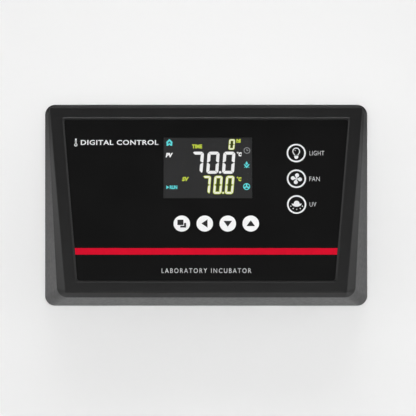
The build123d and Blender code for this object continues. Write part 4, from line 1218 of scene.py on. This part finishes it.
def sensor_header():
    """Open box with three pins for the temperature sensor's plug."""
    x, z = SENSOR_SOCKET
    width, height, depth = SENSOR_SIZE
    wall = [rectangle(x, z, width, height, 0.4), rectangle(x, z, width - 1.6, height - 1.6, 0.3)]
    base = [rectangle(x, z, width - 0.8, height - 0.8)]
    shell = [(plate(wall, depth - 0.02), shift(z=0.02)), (plate(base, 1.6), shift(z=0.03))]
    box = on_board("sensor_header", shell, "nylon")
    pins = [(bevelled_box(0.64, 0.64, depth - 1.2, 0.12, 1), shift(x + i * 2.5, z, 0.1)) for i in (-1, 0, 1)]
    on_board("sensor_pins", pins, "tin")
    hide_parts("sensor_socket")


def terminal_details():
    """Clamps inside the wire entries of the terminal block, and the ribs between its ways."""
    z, ways = TERMINAL[1], terminal_ways()
    clamps = [(bevelled_box(3.3, 0.6, 3.6, 0.1, 1), shift(x, z - 2.6, 3.4)) for x in ways]
    on_board("terminal_clamps", clamps, "tin")
    depth = TERMINAL_SIZE[1] + 0.3
    ribs = [
        (bevelled_box(0.35, depth, 9.5, 0.1, 1), shift(x + TERMINAL_PITCH / 2, z, 0.4)) for x in ways[:-1]
    ]
    on_board("terminal_ribs", ribs, "terminal")


def stud_welds():
    """Low rings of weld round the feet of the studs on the back of the sheet."""
    low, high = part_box("earth_stud")
    centres = [(x, z) for x in (-TRAY_STUD_X, TRAY_STUD_X) for z in (-TRAY_STUD_Z, TRAY_STUD_Z)]
    centres.append(((low.x + high.x) / 2 / MM, (low.z + high.z) / 2 / MM))
    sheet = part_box("tray_studs")[0].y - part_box("relay_board")[1].y
    profile = [(0, 0), (3.1, 0), (2.9, 0.35), (2.2, 0.6), (1.9, 0.9), (0, 0.9)]
    rings = [(turned(profile, 28), shift(x, z, sheet / MM)) for x, z in sorted(centres)]
    piece("stud_welds", rings, "weld", BOARD, smooth=True)


# ------------------------------------------------------------------ stage


ROOM, BACKGROUND = 0.08, 0.68
FLOOR_SIZE, FLOOR_GAP = 3.8, 0.0005
CENTRE = (0, 0, 0)
# Soft boxes with grids: place, what they face, size, power and the spread of their light in degrees
LIGHTS = {
    "front_light": ((0, -3.0, 0.15), CENTRE, (0.9, 0.5), 4.9, 60),
    "left_light": ((-1.9, -1.4, 0.6), CENTRE, (1.2, 1.0), 1.9, 110),
    "right_light": ((1.9, -1.4, 0.5), CENTRE, (1.2, 1.0), 1.6, 110),
    "left_panel": ((-1.8, -0.2, 0.5), (0, -0.03, 0), (0.9, 1.4), 3.4, 110),
    "right_panel": ((1.8, -0.2, 0.5), (0, -0.03, 0), (0.9, 1.4), 3.4, 110),
    "top_light": ((0, -0.9, 1.9), CENTRE, (1.6, 0.5), 5.9, 120),
    "rear_light": ((0.8, 1.6, 1.2), CENTRE, (1.2, 1.0), 16.0, 140),
}
CAMERA_DISTANCE, CAMERA_LENS = 2.0, 265.0
CAMERA_X, CAMERA_Z = 0.0012, -0.0018


def placed(name, data, place):
    """Object of a light or camera, in the scene."""
    holder = bpy.data.objects.new(name, data)
    holder.location = place
    bpy.context.scene.collection.objects.link(holder)
    return holder


def area_light(name, place, target, size, power, spread):
    light = bpy.data.lights.new(name, "AREA")
    light.shape = "RECTANGLE"
    light.size, light.size_y = size
    light.energy = power
    light.spread = math.radians(spread)
    towards = Vector(target) - Vector(place)
    placed(name, light, place).rotation_euler = towards.to_track_quat("-Z", "Y").to_euler()


def studio_world():
    """A dim room whose background is pale where it is seen directly."""
    world = bpy.data.worlds.new("studio")
    world.use_nodes = True
    tree = world.node_tree
    rays = tree.nodes.new("ShaderNodeLightPath")
    strength = fill(tree.nodes.new("ShaderNodeMapRange"), To_Min=ROOM, To_Max=BACKGROUND)
    sky = fill(tree.nodes["Background"], Color=(1, 1, 1, 1))
    tree.links.new(rays.outputs["Is Camera Ray"], strength.inputs["Value"])
    tree.links.new(strength.outputs["Result"], sky.inputs["Strength"])
    bpy.context.scene.world = world


def stage():
    """Pale floor, soft light and a camera square to the sheet."""
    floor_material = Finish("floor", grey(0.74), 0.9, specular=0.0)
    floor_material.tint(floor_material.noise(6), grey(0.72))
    bpy.ops.mesh.primitive_plane_add(size=FLOOR_SIZE, location=(0, 0, cad_box[0].z - FLOOR_GAP))
    floor = bpy.context.object
    floor.name = "floor"
    floor.data.materials.append(floor_material.material)

    studio_world()
    for name, light in LIGHTS.items():
        area_light(name, *light)

    camera = bpy.data.cameras.new("camera")
    camera.sensor_width = 36.0
    camera.lens = CAMERA_LENS
    camera.clip_start, camera.clip_end = 0.1, 50.0
    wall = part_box("front_sheet")[0].y
    holder = placed("camera", camera, (CAMERA_X, wall - CAMERA_DISTANCE, CAMERA_Z))
    holder.rotation_euler = (QUARTER, 0, 0)
    bpy.context.scene.camera = holder
    bpy.context.scene.view_settings.view_transform = "Standard"


finish_nodes()
stripe()
captions()
plain_mark()
key_prints()
display()
board_tracks()
board_legend()
board_rings()
board_small_parts()
relay_details()
transformer_details()
can_details()
mains_part_details()
power_device()
glass_fuse()
sensor_header()
terminal_details()
stud_welds()
stage()
